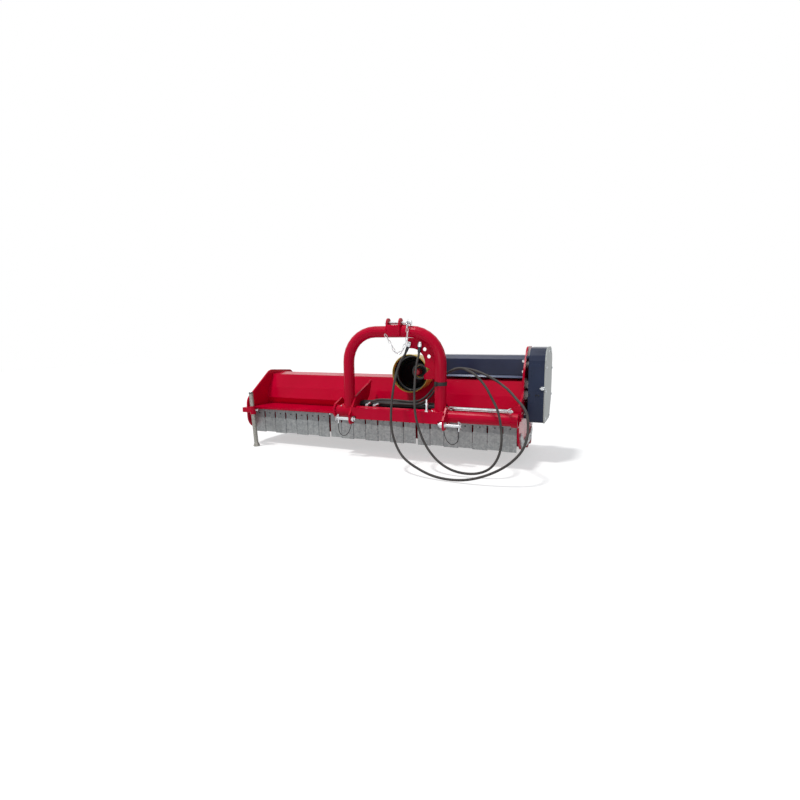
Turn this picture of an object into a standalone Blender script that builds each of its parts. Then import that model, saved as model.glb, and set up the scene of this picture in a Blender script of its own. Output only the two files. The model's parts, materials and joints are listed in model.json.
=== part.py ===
"""Offset tractor mulcher, about two metres wide, with a side-shifting three point carriage.

Machine axes while it is drawn: X runs along the rotor with zero in the middle of the hood,
Y runs away from the tractor with zero at the row of front flaps, and Z is up from the ground.
The last step moves the whole machine so that its origin is under the middle of its box.
All sizes are in metres.
"""
import math

import bmesh
import bpy
from mathutils import Matrix, Vector

for leftover in list(bpy.data.objects):
    bpy.data.objects.remove(leftover, do_unlink=True)

# Driving dimensions
FIT = 0.0003               # clearance between two pieces that touch
CUT_WIDTH = 2.040          # between the inner faces of the end plates
HALF = CUT_WIDTH / 2
SHEET = 0.006              # hood and seat sheet
END_PLATE = 0.012          # end plate thickness

ROTOR_Y = 0.340            # rotor axis
ROTOR_Z = 0.340
ROTOR_TUBE_R = 0.050
ROTOR_TUBE_WALL = 0.010
ROTOR_SHAFT_R = 0.020
ROTOR_TUBE_GAP = 0.015     # between the rotor tube and each end plate
SWING_R = 0.141            # radius that the hammers sweep
HAMMER_ROWS = 3
HAMMERS_PER_ROW = 6
HAMMER_WIDTH = 0.050
HAMMER_PIN_R = 0.007
HAMMER_PIN_CIRCLE = 0.082  # hammer pins from the rotor axis
LUG_THICK = 0.010

DECK_FRONT = -0.056        # front face of the hood's deck
DECK_Z = 0.290             # top of the deck
LIP_DROP = 0.014           # front lip below the deck
# The casing wraps the rotor: angle from +Y in degrees, and gap to the hammers' sweep
CASING = [(198.0, 0.024), (180.0, 0.046), (153.0, 0.037), (120.0, 0.068),
          (81.0, 0.053), (60.0, 0.058), (38.0, 0.055)]

FLAP_COUNT = 21
FLAP_GROUPS = 3
FLAP_THICK = 0.004
FLAP_GAP = 0.0016
FLAP_SLOT = 0.012          # width of the slots between the tops of the flaps
FLAP_SLOT_LENGTH = 0.058
FLAP_LENGTH = 0.177        # from the hinge rod to the tip
FLAP_ROD_Y = 0.0
FLAP_ROD_Z = 0.265
FLAP_ROD_R = 0.006
FLAP_EYE_R = 0.0115

SLIDE_Y = -0.108           # axis of the slide tube
TUBE_SIDES = 20            # facets of the slide tube and of all that runs on it
SLIDE_Z = 0.312
SLIDE_R = 0.0375
SLIDE_LENGTH = 1.260
SLIDE_RIGHT = HALF + 0.015
SLIDE_LEFT = SLIDE_RIGHT - SLIDE_LENGTH

ARCH_X = SLIDE_LEFT + 0.438  # middle of the arch, with the carriage at the left end of its travel
ARCH_SPAN = 0.660          # between the leg axes
ARCH_TOP = 0.852           # axis of the arch's top
ARCH_BEND = 0.203
ARCH_R = 0.038
ARCH_FOOT = 0.330          # the legs are cut off round the slide sleeves above this
SLEEVE_R = 0.0465
SLEEVE_LENGTH = 0.100

EAR_THICK = 0.012
HITCH_PIN_Y = -0.176       # lower hitch pins
HITCH_PIN_Z = 0.268
HITCH_PIN_R = 0.011
HITCH_SHOULDER = 0.0055    # from the ear to the pin's shoulder: 683 mm between the shoulders
HITCH_PIN_LENGTH = 0.100   # beyond the shoulder
PIN_SIDES = 16
BEAM_HEIGHT = 0.074
BEAM_DEPTH = 0.027
BEAM_WALL = 0.008
BEAM_FRONT = -0.178

TOP_PIN_Y = SLIDE_Y - 0.020
TOP_PIN_Z = ARCH_TOP + 0.056
TOP_PIN_R = 0.0095
TOP_X = ARCH_X + 0.022     # middle of the top link, nearer the middle of the lower pins
TOP_EAR_GAP = 0.077
TOP_EAR_THICK = 0.010
TOP_EAR_R = 0.031

RAM_Y = -0.034             # side-shift ram
RAM_Z = 0.354
RAM_BARREL_R = 0.030
RAM_BORE_R = 0.024
RAM_ROD_R = 0.0125
RAM_LENGTH = 0.6264
RAM_EYE_X = HALF - 0.038

PTO_X = ARCH_X + 0.071     # input shaft
SHAFT_Y = 0.315            # cross shaft
SHAFT_Z = 0.571
SHAFT_R = 0.0175
GEARBOX_WIDTH = 0.150
GEARBOX_DEPTH = 0.160
SEAT_Z = 0.494             # top of the gearbox seat
SHIELD_R = 0.1285
SHIELD_FRONT = 0.015
SHIELD_WALL = 0.003

COVER_FRONT = 0.238        # cover over the cross shaft
COVER_BACK = 0.395
COVER_BOTTOM = 0.560
COVER_TOP = 0.690
COVER_CHAMFER = 0.025
COVER_WALL = 0.004
COVER_LEFT = PTO_X + GEARBOX_WIDTH / 2 + 0.033

CASE_BACK_X = HALF + 0.038  # belt case: where its side band starts
CASE_LID_X = CASE_BACK_X + 0.098
CASE_OUT_X = CASE_LID_X + 0.007
CASE_WALL = 0.003
CASE_FRONT = 0.100
CASE_REAR = 0.465
CASE_BOTTOM = 0.2675
CASE_TOP = 0.746
PULLEY_LEFT = CASE_BACK_X + 0.016
PULLEY_WIDTH = 0.060
SHAFT_PULLEY_R = 0.093
ROTOR_PULLEY_R = 0.055
GROOVE_DEPTH = 0.009
BELT_COUNT = 3
BELT_WIDTH = 0.0125

ROLLER_Y = 0.565           # rear roller
ROLLER_R = 0.066
ROLLER_AXLE_R = 0.0155
ROLLER_GAP = 0.020         # between the roller tube and each end plate

DOOR_HINGE_Y = 0.512       # rear hood
DOOR_HINGE_Z = 0.462
DOOR_ROD_R = 0.007

STAND_X = 0.078 - HALF     # parking stand, at the height of its socket
STAND_Y = -0.126
STAND_TILT = 4.5           # degrees, the foot leans inwards
STAND_TOP = 0.401
STAND_TUBE_R = 0.0155
STAND_SOCKET_LOW = 0.244
STAND_SOCKET_HIGH = 0.305

HOSE_R = 0.0075
LANYARD_R = 0.0025
CHAIN_WIRE_R = 0.0023
CHAIN_PITCH = 0.0262

LEG_LEFT = ARCH_X - ARCH_SPAN / 2
LEG_RIGHT = ARCH_X + ARCH_SPAN / 2
EAR_LEFT = LEG_LEFT + ARCH_R + FIT
EAR_RIGHT = LEG_RIGHT + ARCH_R + FIT


# Paints and other finishes: colour as linear red, green and blue
def finish(name, colour, roughness, metallic):
    """A plain Principled finish."""
    paint = bpy.data.materials.new(name)
    paint.use_nodes = True
    shader = paint.node_tree.nodes["Principled BSDF"]
    shader.inputs["Base Color"].default_value = (*colour, 1.0)
    shader.inputs["Roughness"].default_value = roughness
    shader.inputs["Metallic"].default_value = metallic
    paint.diffuse_color = (*colour, 1.0)
    return paint


RED = (0.45, 0.005, 0.015)
SLATE = (0.024, 0.034, 0.060)
LID_GREY = (0.44, 0.47, 0.45)
GALVANISED = (0.30, 0.31, 0.32)
ZINC = (0.60, 0.62, 0.62)
BLACK = (0.012, 0.012, 0.013)
YELLOW = (0.62, 0.45, 0.08)
STEEL = (0.16, 0.16, 0.17)
CHROME = (0.70, 0.71, 0.72)
IRON = (0.05, 0.052, 0.055)


# Bodies: an empty on the axis of each moving piece carries what moves with it
machine = bpy.data.objects.new("machine", None)
bpy.context.collection.objects.link(machine)


def pivot(name, place, parent):
    """An empty at a joint, in machine coordinates."""
    empty = bpy.data.objects.new(name, None)
    empty.empty_display_size = 0.05
    bpy.context.collection.objects.link(empty)
    empty.parent = parent
    empty["place"] = tuple(place)
    start = Vector(parent["place"]) if "place" in parent else Vector((0, 0, 0))
    empty.location = Vector(place) - start
    return empty


machine["place"] = (0.0, 0.0, 0.0)


def add_solid(name, bm, colour, roughness=0.4, metallic=0.0, carrier=None, smooth=None):
    """Turns a mesh drawn in machine coordinates into a named piece on its carrier."""
    carrier = carrier or machine
    bmesh.ops.translate(bm, vec=-Vector(carrier["place"]), verts=bm.verts)
    mesh = bpy.data.meshes.new(name)
    bm.to_mesh(mesh)
    bm.free()
    if smooth:
        mesh.shade_smooth()
        mesh.set_sharp_from_angle(angle=math.radians(smooth))
    piece = bpy.data.objects.new(name, mesh)
    bpy.context.collection.objects.link(piece)
    piece.parent = carrier
    mesh.materials.append(finish(name + "_finish", colour, roughness, metallic))
    return piece


def combine(piece, bm, operation):
    """Adds or cuts a shape, drawn in machine coordinates, with a hidden helper."""
    carrier = piece.parent
    bmesh.ops.translate(bm, vec=-Vector(carrier["place"]), verts=bm.verts)
    mesh = bpy.data.meshes.new(piece.name + "_tool")
    bm.to_mesh(mesh)
    bm.free()
    tool = bpy.data.objects.new(piece.name + "_tool", mesh)
    bpy.context.collection.objects.link(tool)
    tool.parent = carrier
    tool.hide_render = True
    tool.display_type = "WIRE"
    boolean = piece.modifiers.new(operation.lower(), "BOOLEAN")
    boolean.operation = operation
    boolean.object = tool
    boolean.solver = "EXACT"


# Shape helpers, all in machine coordinates
def lift(point, axis, level):
    """A point of a plane across the axis, put at a level along it."""
    first, second = point
    if axis == "X":
        return Vector((level, first, second))
    if axis == "Y":
        return Vector((first, level, second))
    return Vector((first, second, level))


def prism(bm, outline, axis, start, end, holes=()):
    """A flat outline, with holes, extruded along an axis into a closed solid."""
    loops = [[bm.verts.new(lift(p, axis, start)) for p in loop] for loop in [outline, *holes]]
    if holes:
        edges = [bm.edges.new(pair) for loop in loops for pair in zip(loop, loop[1:] + loop[:1])]
        filled = bmesh.ops.triangle_fill(bm, use_beauty=True, edges=edges)
        faces = [item for item in filled["geom"] if isinstance(item, bmesh.types.BMFace)]
    else:
        faces = [bm.faces.new(loops[0])]
    grown = bmesh.ops.extrude_face_region(bm, geom=faces)["geom"]
    moved = [item for item in grown if isinstance(item, bmesh.types.BMVert)]
    bmesh.ops.translate(bm, vec=lift((0, 0), axis, end - start), verts=moved)
    island = {face for vert in moved for face in vert.link_faces} | set(faces)
    bmesh.ops.recalc_face_normals(bm, faces=list(island))
    return bm


def box(bm, low, high):
    """A block between two corners."""
    outline = [(low[0], low[1]), (high[0], low[1]), (high[0], high[1]), (low[0], high[1])]
    return prism(bm, outline, "Z", low[2], high[2])


def ring_points(centre, radius, sides, start=0.0):
    """Points round a circle, as many as it has sides."""
    step = 2 * math.pi / sides
    return [(centre[0] + radius * math.cos(start + i * step),
             centre[1] + radius * math.sin(start + i * step)) for i in range(sides)]


def arc(centre, radius, first, last, steps):
    """Points along an arc between two angles in degrees."""
    angles = [math.radians(first + (last - first) * i / steps) for i in range(steps + 1)]
    return [(centre[0] + radius * math.cos(a), centre[1] + radius * math.sin(a)) for a in angles]


def rounded(corners, steps=4):
    """An outline whose corners, given as (x, y, radius), are rounded."""
    outline = []
    count = len(corners)
    for i, (x, y, radius) in enumerate(corners):
        here = Vector((x, y))
        if radius <= 0:
            outline.append(tuple(here))
            continue
        before = (Vector(corners[i - 1][:2]) - here).normalized()
        after = (Vector(corners[(i + 1) % count][:2]) - here).normalized()
        half = before.angle(after) / 2
        middle = here + (before + after).normalized() * (radius / math.sin(half))
        reach = radius / math.tan(half)
        start = here + before * reach - middle
        sweep = start.angle_signed(here + after * reach - middle)
        for k in range(steps + 1):
            outline.append(tuple(middle + Matrix.Rotation(-sweep * k / steps, 2) @ start))
    return outline


def offset(points, distance):
    """An open line moved sideways by a distance, with mitred corners."""
    line = [Vector(p) for p in points]
    normals = []
    for a, b in zip(line, line[1:]):
        run = (b - a).normalized()
        normals.append(Vector((run.y, -run.x)))
    moved = [line[0] + normals[0] * distance]
    for point, left, right in zip(line[1:], normals, normals[1:]):
        middle = (left + right).normalized()
        moved.append(point + middle * (distance / middle.dot(left)))
    moved.append(line[-1] + normals[-1] * distance)
    return [tuple(p) for p in moved]


def turned(bm, profile, centre, axis, steps=16, closed=False):
    """A profile of (distance along the axis, radius), spun round the axis."""
    part = bmesh.new()
    verts = [part.verts.new((radius, 0.0, along)) for along, radius in profile]
    edges = [part.edges.new(pair) for pair in zip(verts, verts[1:])]
    if closed:
        edges.append(part.edges.new((verts[-1], verts[0])))
    bmesh.ops.spin(part, geom=verts + edges, cent=(0, 0, 0), axis=(0, 0, 1),
                   angle=2 * math.pi, steps=steps, use_merge=True)
    bmesh.ops.remove_doubles(part, verts=part.verts, dist=0.00001)
    bmesh.ops.recalc_face_normals(part, faces=part.faces)
    turn = Vector((0, 0, 1)).rotation_difference(Vector(axis)).to_matrix().to_4x4()
    bmesh.ops.transform(part, matrix=Matrix.Translation(centre) @ turn, verts=part.verts)
    return merge_into(bm, part)


def cylinder(bm, centre, axis, start, end, radius, steps=16):
    """A plain round bar."""
    return turned(bm, [(start, 0), (start, radius), (end, radius), (end, 0)], centre, axis, steps)


def pipe(bm, centre, axis, start, end, outer, inner, steps=16):
    """A straight tube with open ends."""
    profile = [(start, inner), (start, outer), (end, outer), (end, inner)]
    return turned(bm, profile, centre, axis, steps, closed=True)


def merge_into(bm, part):
    """Copies one mesh into another."""
    mesh = bpy.data.meshes.new("shape")
    part.to_mesh(mesh)
    part.free()
    bm.from_mesh(mesh)
    bpy.data.meshes.remove(mesh)
    return bm


def bent_bar(bm, points, radius, resolution, cyclic=False):
    """A round bar or wire along a line of points, made with a bevelled curve."""
    mesh_source = round_curve("bar", points, radius, resolution, cyclic)
    mesh = bpy.data.meshes.new_from_object(mesh_source)
    curve = mesh_source.data
    bpy.data.objects.remove(mesh_source, do_unlink=True)
    bpy.data.curves.remove(curve)
    part = bmesh.new()
    part.from_mesh(mesh)
    bpy.data.meshes.remove(mesh)
    bmesh.ops.remove_doubles(part, verts=part.verts, dist=0.000001)
    bmesh.ops.recalc_face_normals(part, faces=part.faces)
    return merge_into(bm, part)


def round_curve(name, points, radius, resolution, cyclic=False):
    """A bevelled curve object along a line of points."""
    curve = bpy.data.curves.new(name, "CURVE")
    curve.dimensions = "3D"
    curve.bevel_depth = radius
    curve.bevel_resolution = resolution
    curve.use_fill_caps = not cyclic
    spline = curve.splines.new("POLY")
    spline.points.add(len(points) - 1)
    for target, point in zip(spline.points, points):
        target.co = (*point, 1.0)
    spline.use_cyclic_u = cyclic
    piece = bpy.data.objects.new(name, curve)
    bpy.context.collection.objects.link(piece)
    return piece


def smooth_line(points, spacing):
    """Points at an even spacing along a smooth curve through the given points."""
    knots = [Vector(p) for p in points]
    knots = [knots[0] * 2 - knots[1], *knots, knots[-1] * 2 - knots[-2]]
    dense = []
    for a, b, c, d in zip(knots, knots[1:], knots[2:], knots[3:]):
        for k in range(12):
            t = k / 12
            dense.append(0.5 * (2 * b + (c - a) * t + (2 * a - 5 * b + 4 * c - d) * t ** 2
                                + (3 * b - a - 3 * c + d) * t ** 3))
    dense.append(knots[-2])
    length = sum((q - p).length for p, q in zip(dense, dense[1:]))
    count = max(2, round(length / spacing))
    even, walked, target = [dense[0]], 0.0, 1
    for p, q in zip(dense, dense[1:]):
        run = (q - p).length
        while target < count and walked + run >= target * length / count:
            even.append(p.lerp(q, (target * length / count - walked) / run))
            target += 1
        walked += run
    return [*even, dense[-1]], length


def polar(angle, radius, centre=(ROTOR_Y, ROTOR_Z)):
    """A point in the YZ plane at an angle in degrees from +Y."""
    turn = math.radians(angle)
    return centre[0] + radius * math.cos(turn), centre[1] + radius * math.sin(turn)


# Joint pivots
carriage = pivot("carriage_pivot", (ARCH_X, SLIDE_Y, SLIDE_Z), machine)
rotor = pivot("rotor_pivot", (0.0, ROTOR_Y, ROTOR_Z), machine)
cross_shaft = pivot("cross_shaft_pivot", (HALF, SHAFT_Y, SHAFT_Z), machine)
pto_input = pivot("pto_input_pivot", (PTO_X, SHAFT_Y, SHAFT_Z), machine)
roller = pivot("roller_pivot", (0.0, ROLLER_Y, ROLLER_R), machine)
flaps_a = pivot("flaps_a_pivot", (0.0, FLAP_ROD_Y, FLAP_ROD_Z), machine)
flaps_b = pivot("flaps_b_pivot", (0.0, FLAP_ROD_Y, FLAP_ROD_Z), machine)
flaps_c = pivot("flaps_c_pivot", (0.0, FLAP_ROD_Y, FLAP_ROD_Z), machine)
door = pivot("rear_hood_pivot", (0.0, DOOR_HINGE_Y, DOOR_HINGE_Z), machine)
STAND_MIDDLE = (STAND_SOCKET_LOW + STAND_SOCKET_HIGH) / 2
stand = pivot("stand_pivot", (STAND_X, STAND_Y, STAND_MIDDLE), machine)
clamp_screw = pivot("clamp_screw_pivot", (STAND_X, STAND_Y, STAND_MIDDLE), machine)


# Hood: one bent sheet, deck and casing, cut open for the gearbox
def casing_line():
    """The outer face of the sheet, from the deck's front edge over the rotor to the back."""
    wrap = [polar(angle, SWING_R + gap) for angle, gap in CASING]
    return [(DECK_FRONT, DECK_Z - LIP_DROP), (DECK_FRONT, DECK_Z), (wrap[0][0], DECK_Z), *wrap[1:]]


def facet_y(level):
    """Where the casing's upper front facet is at a given height."""
    low, high = [polar(angle, SWING_R + gap) for angle, gap in CASING[2:4]]
    return low[0] + (high[0] - low[0]) * (level - low[1]) / (high[1] - low[1])


SEAT_LEFT = PTO_X - GEARBOX_WIDTH / 2 - SHEET - 0.004
SEAT_RIGHT = PTO_X + GEARBOX_WIDTH / 2 + SHEET + 0.004
SEAT_FRONT = facet_y(SEAT_Z - SHEET) + 0.002
SEAT_BACK = SHAFT_Y + GEARBOX_DEPTH / 2 + 0.030
CASING_TOP = polar(CASING[4][0], SWING_R + CASING[4][1])[1]


def build_hood():
    outer = casing_line()
    inner = offset(outer, SHEET)
    inner[0] = (DECK_FRONT + SHEET, DECK_Z - LIP_DROP)
    bm = prism(bmesh.new(), outer + inner[::-1], "X", -HALF + FIT, HALF - FIT)
    hood = add_solid("hood_shell", bm, RED, 0.35, 0.0, machine)
    notch = box(bmesh.new(), (SEAT_LEFT, SEAT_FRONT, SEAT_Z - SHEET - FIT),
                (SEAT_RIGHT, SEAT_BACK, CASING_TOP + 0.1))
    combine(hood, notch, "DIFFERENCE")


def build_gearbox_seat():
    wall_top = CASING_TOP + 0.006
    low = SEAT_Z - SHEET
    side = [(SEAT_FRONT + FIT, low), (SEAT_BACK - FIT, low), (SEAT_BACK - FIT, wall_top),
            (facet_y(wall_top), wall_top)]
    bm = prism(bmesh.new(), side, "X", SEAT_LEFT + FIT, SEAT_RIGHT - FIT)
    seat = add_solid("gearbox_seat", bm, RED, 0.4, 0.0, machine)
    hollow = box(bmesh.new(), (SEAT_LEFT + FIT + SHEET, SEAT_FRONT - 0.05, SEAT_Z),
                 (SEAT_RIGHT - FIT - SHEET, SEAT_BACK - FIT - SHEET, wall_top + 0.1))
    combine(seat, hollow, "DIFFERENCE")


# End plates
SKID_LOW = 0.093
SKID_THICK = 0.008


def lower_outline(front_low, front_high):
    """The end plates' lower edge, from the back round to the front, as rounded corners."""
    return [(0.520, 0.170, 0.06), (0.430, SKID_LOW, 0.05), (0.060, SKID_LOW, 0.09),
            front_low, front_high]


def end_plate_holes(with_shaft):
    holes = [ring_points((ROTOR_Y, ROTOR_Z), ROTOR_SHAFT_R + 0.010, 16)]
    holes.append(ring_points((DOOR_HINGE_Y, DOOR_HINGE_Z), DOOR_ROD_R + 0.0008, 12))
    if with_shaft:
        holes.append(ring_points((SHAFT_Y, SHAFT_Z), SHAFT_R + 0.010, 16))
    return holes


def build_end_plates():
    left = rounded([(0.565, 0.400, 0.08), *lower_outline((-0.086, 0.150, 0.10), (-0.086, 0.352, 0.08)),
                    (0.205, 0.560, 0.10), (0.500, 0.540, 0.05)])
    bm = prism(bmesh.new(), left, "X", -HALF - END_PLATE, -HALF, end_plate_holes(False))
    add_solid("end_plate_left", bm, RED, 0.35, 0.0, machine)
    right = rounded([(0.560, 0.400, 0.06), *lower_outline((-0.050, 0.170, 0.09), (-0.050, 0.385, 0.03)),
                     (0.085, 0.440, 0.05), (0.120, 0.600, 0.10), (0.240, CASE_TOP + 0.003, 0.08),
                     (0.430, CASE_TOP + 0.003, 0.08), (0.500, 0.640, 0.05)])
    bm = prism(bmesh.new(), right, "X", HALF, HALF + END_PLATE, end_plate_holes(True))
    add_solid("end_plate_right", bm, RED, 0.35, 0.0, machine)


def build_skids():
    """Wear shoes bolted outside the lower edges of the end plates."""
    sole = SKID_LOW - 0.004
    outline = rounded([(0.505, 0.150, 0.018), (0.425, sole, 0.04), (0.065, sole, 0.07),
                       (-0.030, 0.190, 0.014), (0.010, 0.215, 0.012), (0.110, 0.145, 0.04),
                       (0.400, 0.145, 0.04), (0.465, 0.185, 0.012)], 3)
    outer = HALF + END_PLATE + FIT
    for name, inner in (("skid_left", -outer - SKID_THICK), ("skid_right", outer)):
        bm = prism(bmesh.new(), outline, "X", inner, inner + SKID_THICK)
        add_solid(name, bm, GALVANISED, 0.5, 0.6, machine)


# Rotor: tube, lugs, hammer pins and three rows of swinging hammers
HAMMER_PITCH = (CUT_WIDTH - 2 * ROTOR_TUBE_GAP - 0.110) / (HAMMER_ROWS * HAMMERS_PER_ROW - 1)
LUG_HALF = HAMMER_WIDTH / 2 + 0.001 + LUG_THICK


def hammer_places():
    """Each hammer's row and its place along the rotor, in a spiral round the tube."""
    total = HAMMER_ROWS * HAMMERS_PER_ROW
    first = -HAMMER_PITCH * (total - 1) / 2
    return [(i % HAMMER_ROWS, first + i * HAMMER_PITCH) for i in range(total)]


def row_angle(row):
    return 270.0 + 360.0 / HAMMER_ROWS * row


def hanging(points, row):
    """Outline points drawn upwards from a row's pin, turned to hang straight down from it."""
    centre = Vector(polar(row_angle(row), HAMMER_PIN_CIRCLE))
    return [tuple(centre + Vector((-x, HAMMER_PIN_CIRCLE - y))) for x, y in points]


def turned_points(points, row):
    """Outline points drawn for a row that points up, turned to the row's place."""
    turn = Matrix.Rotation(math.radians(row_angle(row) - 90), 2)
    centre = Vector((ROTOR_Y, ROTOR_Z))
    return [tuple(centre + turn @ Vector(p)) for p in points]


def build_rotor():
    reach = HALF - ROTOR_TUBE_GAP
    profile = [(-HALF - END_PLATE - 0.040, 0), (-HALF - END_PLATE - 0.040, ROTOR_SHAFT_R),
               (-reach, ROTOR_SHAFT_R), (-reach, ROTOR_TUBE_R), (reach, ROTOR_TUBE_R),
               (reach, ROTOR_SHAFT_R), (PULLEY_LEFT + PULLEY_WIDTH, ROTOR_SHAFT_R),
               (PULLEY_LEFT + PULLEY_WIDTH, 0)]
    bm = turned(bmesh.new(), profile, (0, ROTOR_Y, ROTOR_Z), (1, 0, 0), 16)
    foot = ROTOR_TUBE_R * math.cos(math.pi / 16) - 0.004
    tube = add_solid("rotor_tube", bm, STEEL, 0.5, 0.6, rotor, 40)
    lugs = bmesh.new()
    outline = [(-0.024, foot), (0.024, foot), (0.015, HAMMER_PIN_CIRCLE + 0.014),
               (-0.015, HAMMER_PIN_CIRCLE + 0.014)]
    hole = ring_points((0, HAMMER_PIN_CIRCLE), (HAMMER_PIN_R + 0.0006) / math.cos(math.pi / 6), 6)
    for row, place in hammer_places():
        for start in (place - LUG_HALF, place + LUG_HALF - LUG_THICK):
            prism(lugs, turned_points(outline, row), "X", start, start + LUG_THICK,
                  [turned_points(hole, row)])
    combine(tube, lugs, "UNION")
    cavity = cylinder(bmesh.new(), (0, ROTOR_Y, ROTOR_Z), (1, 0, 0), 0.016 - reach, reach - 0.016,
                      ROTOR_TUBE_R - ROTOR_TUBE_WALL, 10)
    combine(tube, cavity, "DIFFERENCE")
    vent = cylinder(bmesh.new(), (reach - 0.024, ROTOR_Y, ROTOR_Z), (0, 0, 1), 0.0, ROTOR_TUBE_R + 0.01,
                    0.003, 6)
    combine(tube, vent, "DIFFERENCE")


def build_hammers():
    """Heavy hammers with a broad cutting foot, each row on one long pin through the lugs."""
    tip = SWING_R
    eye = HAMMER_PIN_CIRCLE
    outline = [(-0.013, eye - 0.013), (0.013, eye - 0.013), (0.013, tip - 0.022), (0.0175, tip - 0.012),
               (0.016, tip - 0.003), (0.0, tip), (-0.016, tip - 0.003), (-0.0175, tip - 0.012),
               (-0.013, tip - 0.022)]
    for wanted in range(HAMMER_ROWS):
        y, z = polar(row_angle(wanted), HAMMER_PIN_CIRCLE)
        row_pivot = pivot(f"hammer_row_{wanted + 1}_pivot", (0.0, y, z), rotor)
        bm = bmesh.new()
        places = [place for row, place in hammer_places() if row == wanted]
        for place in places:
            prism(bm, hanging(outline, wanted), "X", place - HAMMER_WIDTH / 2, place + HAMMER_WIDTH / 2)
        hammers = add_solid(f"hammer_row_{wanted + 1}", bm, STEEL, 0.45, 0.7, row_pivot)
        pin = cylinder(bmesh.new(), (0, y, z), (1, 0, 0), places[0] - LUG_HALF - 0.008,
                       places[-1] + LUG_HALF + 0.008, HAMMER_PIN_R, 6)
        combine(hammers, pin, "UNION")


# Bearings on the end plates
def bearing(bm, inner_face, outwards, centre, shaft_radius, size):
    """A flanged bearing housing round a shaft, bolted to a plate's outer face."""
    bore = shaft_radius / math.cos(math.pi / 16) + 0.0004
    profile = [(0, bore), (0, size), (0.008, size), (0.010, size * 0.72), (0.024, size * 0.66), (0.024, bore)]
    turned(bm, profile, (inner_face, *centre), (outwards, 0, 0), 16, closed=True)


def build_bearings():
    for name, face, outwards, centre, radius, size in (
            ("rotor_bearing_left", -HALF - END_PLATE - FIT, -1, (ROTOR_Y, ROTOR_Z), ROTOR_SHAFT_R, 0.062),
            ("rotor_bearing_right", HALF + END_PLATE + FIT, 1, (ROTOR_Y, ROTOR_Z), ROTOR_SHAFT_R, 0.062),
            ("shaft_bearing", HALF + END_PLATE + FIT, 1, (SHAFT_Y, SHAFT_Z), SHAFT_R, 0.055)):
        bm = bmesh.new()
        bearing(bm, face, outwards, centre, radius, size)
        add_solid(name, bm, IRON, 0.5, 0.3, machine, 30)


# Belt drive
def pulley_profile(radius, bore):
    """A grooved pulley, from its left face to its right face."""
    land = (PULLEY_WIDTH - BELT_COUNT * (BELT_WIDTH + 0.001)) / (BELT_COUNT + 1)
    points = [(0, bore), (0, radius)]
    for i in range(BELT_COUNT):
        start = land + i * (land + BELT_WIDTH + 0.001)
        points += [(start, radius), (start, radius - GROOVE_DEPTH),
                   (start + BELT_WIDTH + 0.001, radius - GROOVE_DEPTH), (start + BELT_WIDTH + 0.001, radius)]
    points += [(PULLEY_WIDTH, radius), (PULLEY_WIDTH, bore)]
    return points, land


def build_pulleys():
    for name, centre, radius, shaft_radius, carrier in (
            ("rotor_pulley", (ROTOR_Y, ROTOR_Z), ROTOR_PULLEY_R, ROTOR_SHAFT_R, rotor),
            ("shaft_pulley", (SHAFT_Y, SHAFT_Z), SHAFT_PULLEY_R, SHAFT_R, cross_shaft)):
        points, land = pulley_profile(radius, shaft_radius + 0.0004)
        bm = turned(bmesh.new(), points, (PULLEY_LEFT, *centre), (1, 0, 0), 16, closed=True)
        add_solid(name, bm, IRON, 0.5, 0.5, carrier, 30)


def belt_loop(low_radius, high_radius):
    """The line of a belt round both pulleys."""
    low, high = Vector((ROTOR_Y, ROTOR_Z)), Vector((SHAFT_Y, SHAFT_Z))
    reach = (high - low).length
    lean = math.degrees(math.atan2(high.y - low.y, high.x - low.x))
    open_angle = math.degrees(math.acos((high_radius - low_radius) / reach))
    top = arc(high, high_radius, lean - 180 + open_angle, lean + 180 - open_angle, 11)
    bottom = arc(low, low_radius, lean + 180 - open_angle, lean + 180 + open_angle, 6)
    return top + bottom


def build_belt():
    """A banded belt: three ribs in the grooves, joined by a band over the lands."""
    _, land = pulley_profile(SHAFT_PULLEY_R, SHAFT_R)
    slack = 1.025
    depth, lift_off = GROOVE_DEPTH - 0.0008, 0.0006
    section = [(land - 0.001, lift_off + 0.003), (land - 0.001, lift_off)]
    for i in range(BELT_COUNT):
        start = land + i * (land + BELT_WIDTH + 0.001) + 0.0005
        section += [(start, lift_off), (start + 0.0012, -depth), (start + BELT_WIDTH - 0.0012, -depth),
                    (start + BELT_WIDTH, lift_off)]
    section += [(PULLEY_WIDTH - land + 0.001, lift_off), (PULLEY_WIDTH - land + 0.001, lift_off + 0.003)]
    bm = bmesh.new()
    rings = []
    for x, rise in section:
        line = belt_loop(ROTOR_PULLEY_R * slack + rise, SHAFT_PULLEY_R * slack + rise)
        rings.append([bm.verts.new((PULLEY_LEFT + x, y, z)) for y, z in line])
    for ring, following in zip(rings, rings[1:] + rings[:1]):
        count = len(ring)
        for k in range(count):
            bm.faces.new((ring[k], ring[(k + 1) % count], following[(k + 1) % count], following[k]))
    bmesh.ops.recalc_face_normals(bm, faces=bm.faces)
    add_solid("drive_belt", bm, BLACK, 0.7, 0.0, machine)


def case_outline(inset=0.0):
    """The belt case seen from its side, shrunk by an inset."""
    i = inset
    return rounded([(CASE_FRONT + i, CASE_BOTTOM + i, 0.020 - i), (0.380 - 0.4 * i, CASE_BOTTOM + i, 0.040),
                    (CASE_REAR - i, 0.404 + 0.4 * i, 0.050), (CASE_REAR - i, CASE_TOP - i, 0.130 - i),
                    (CASE_FRONT + i, CASE_TOP - i, 0.120 - i)], 5)


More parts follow.
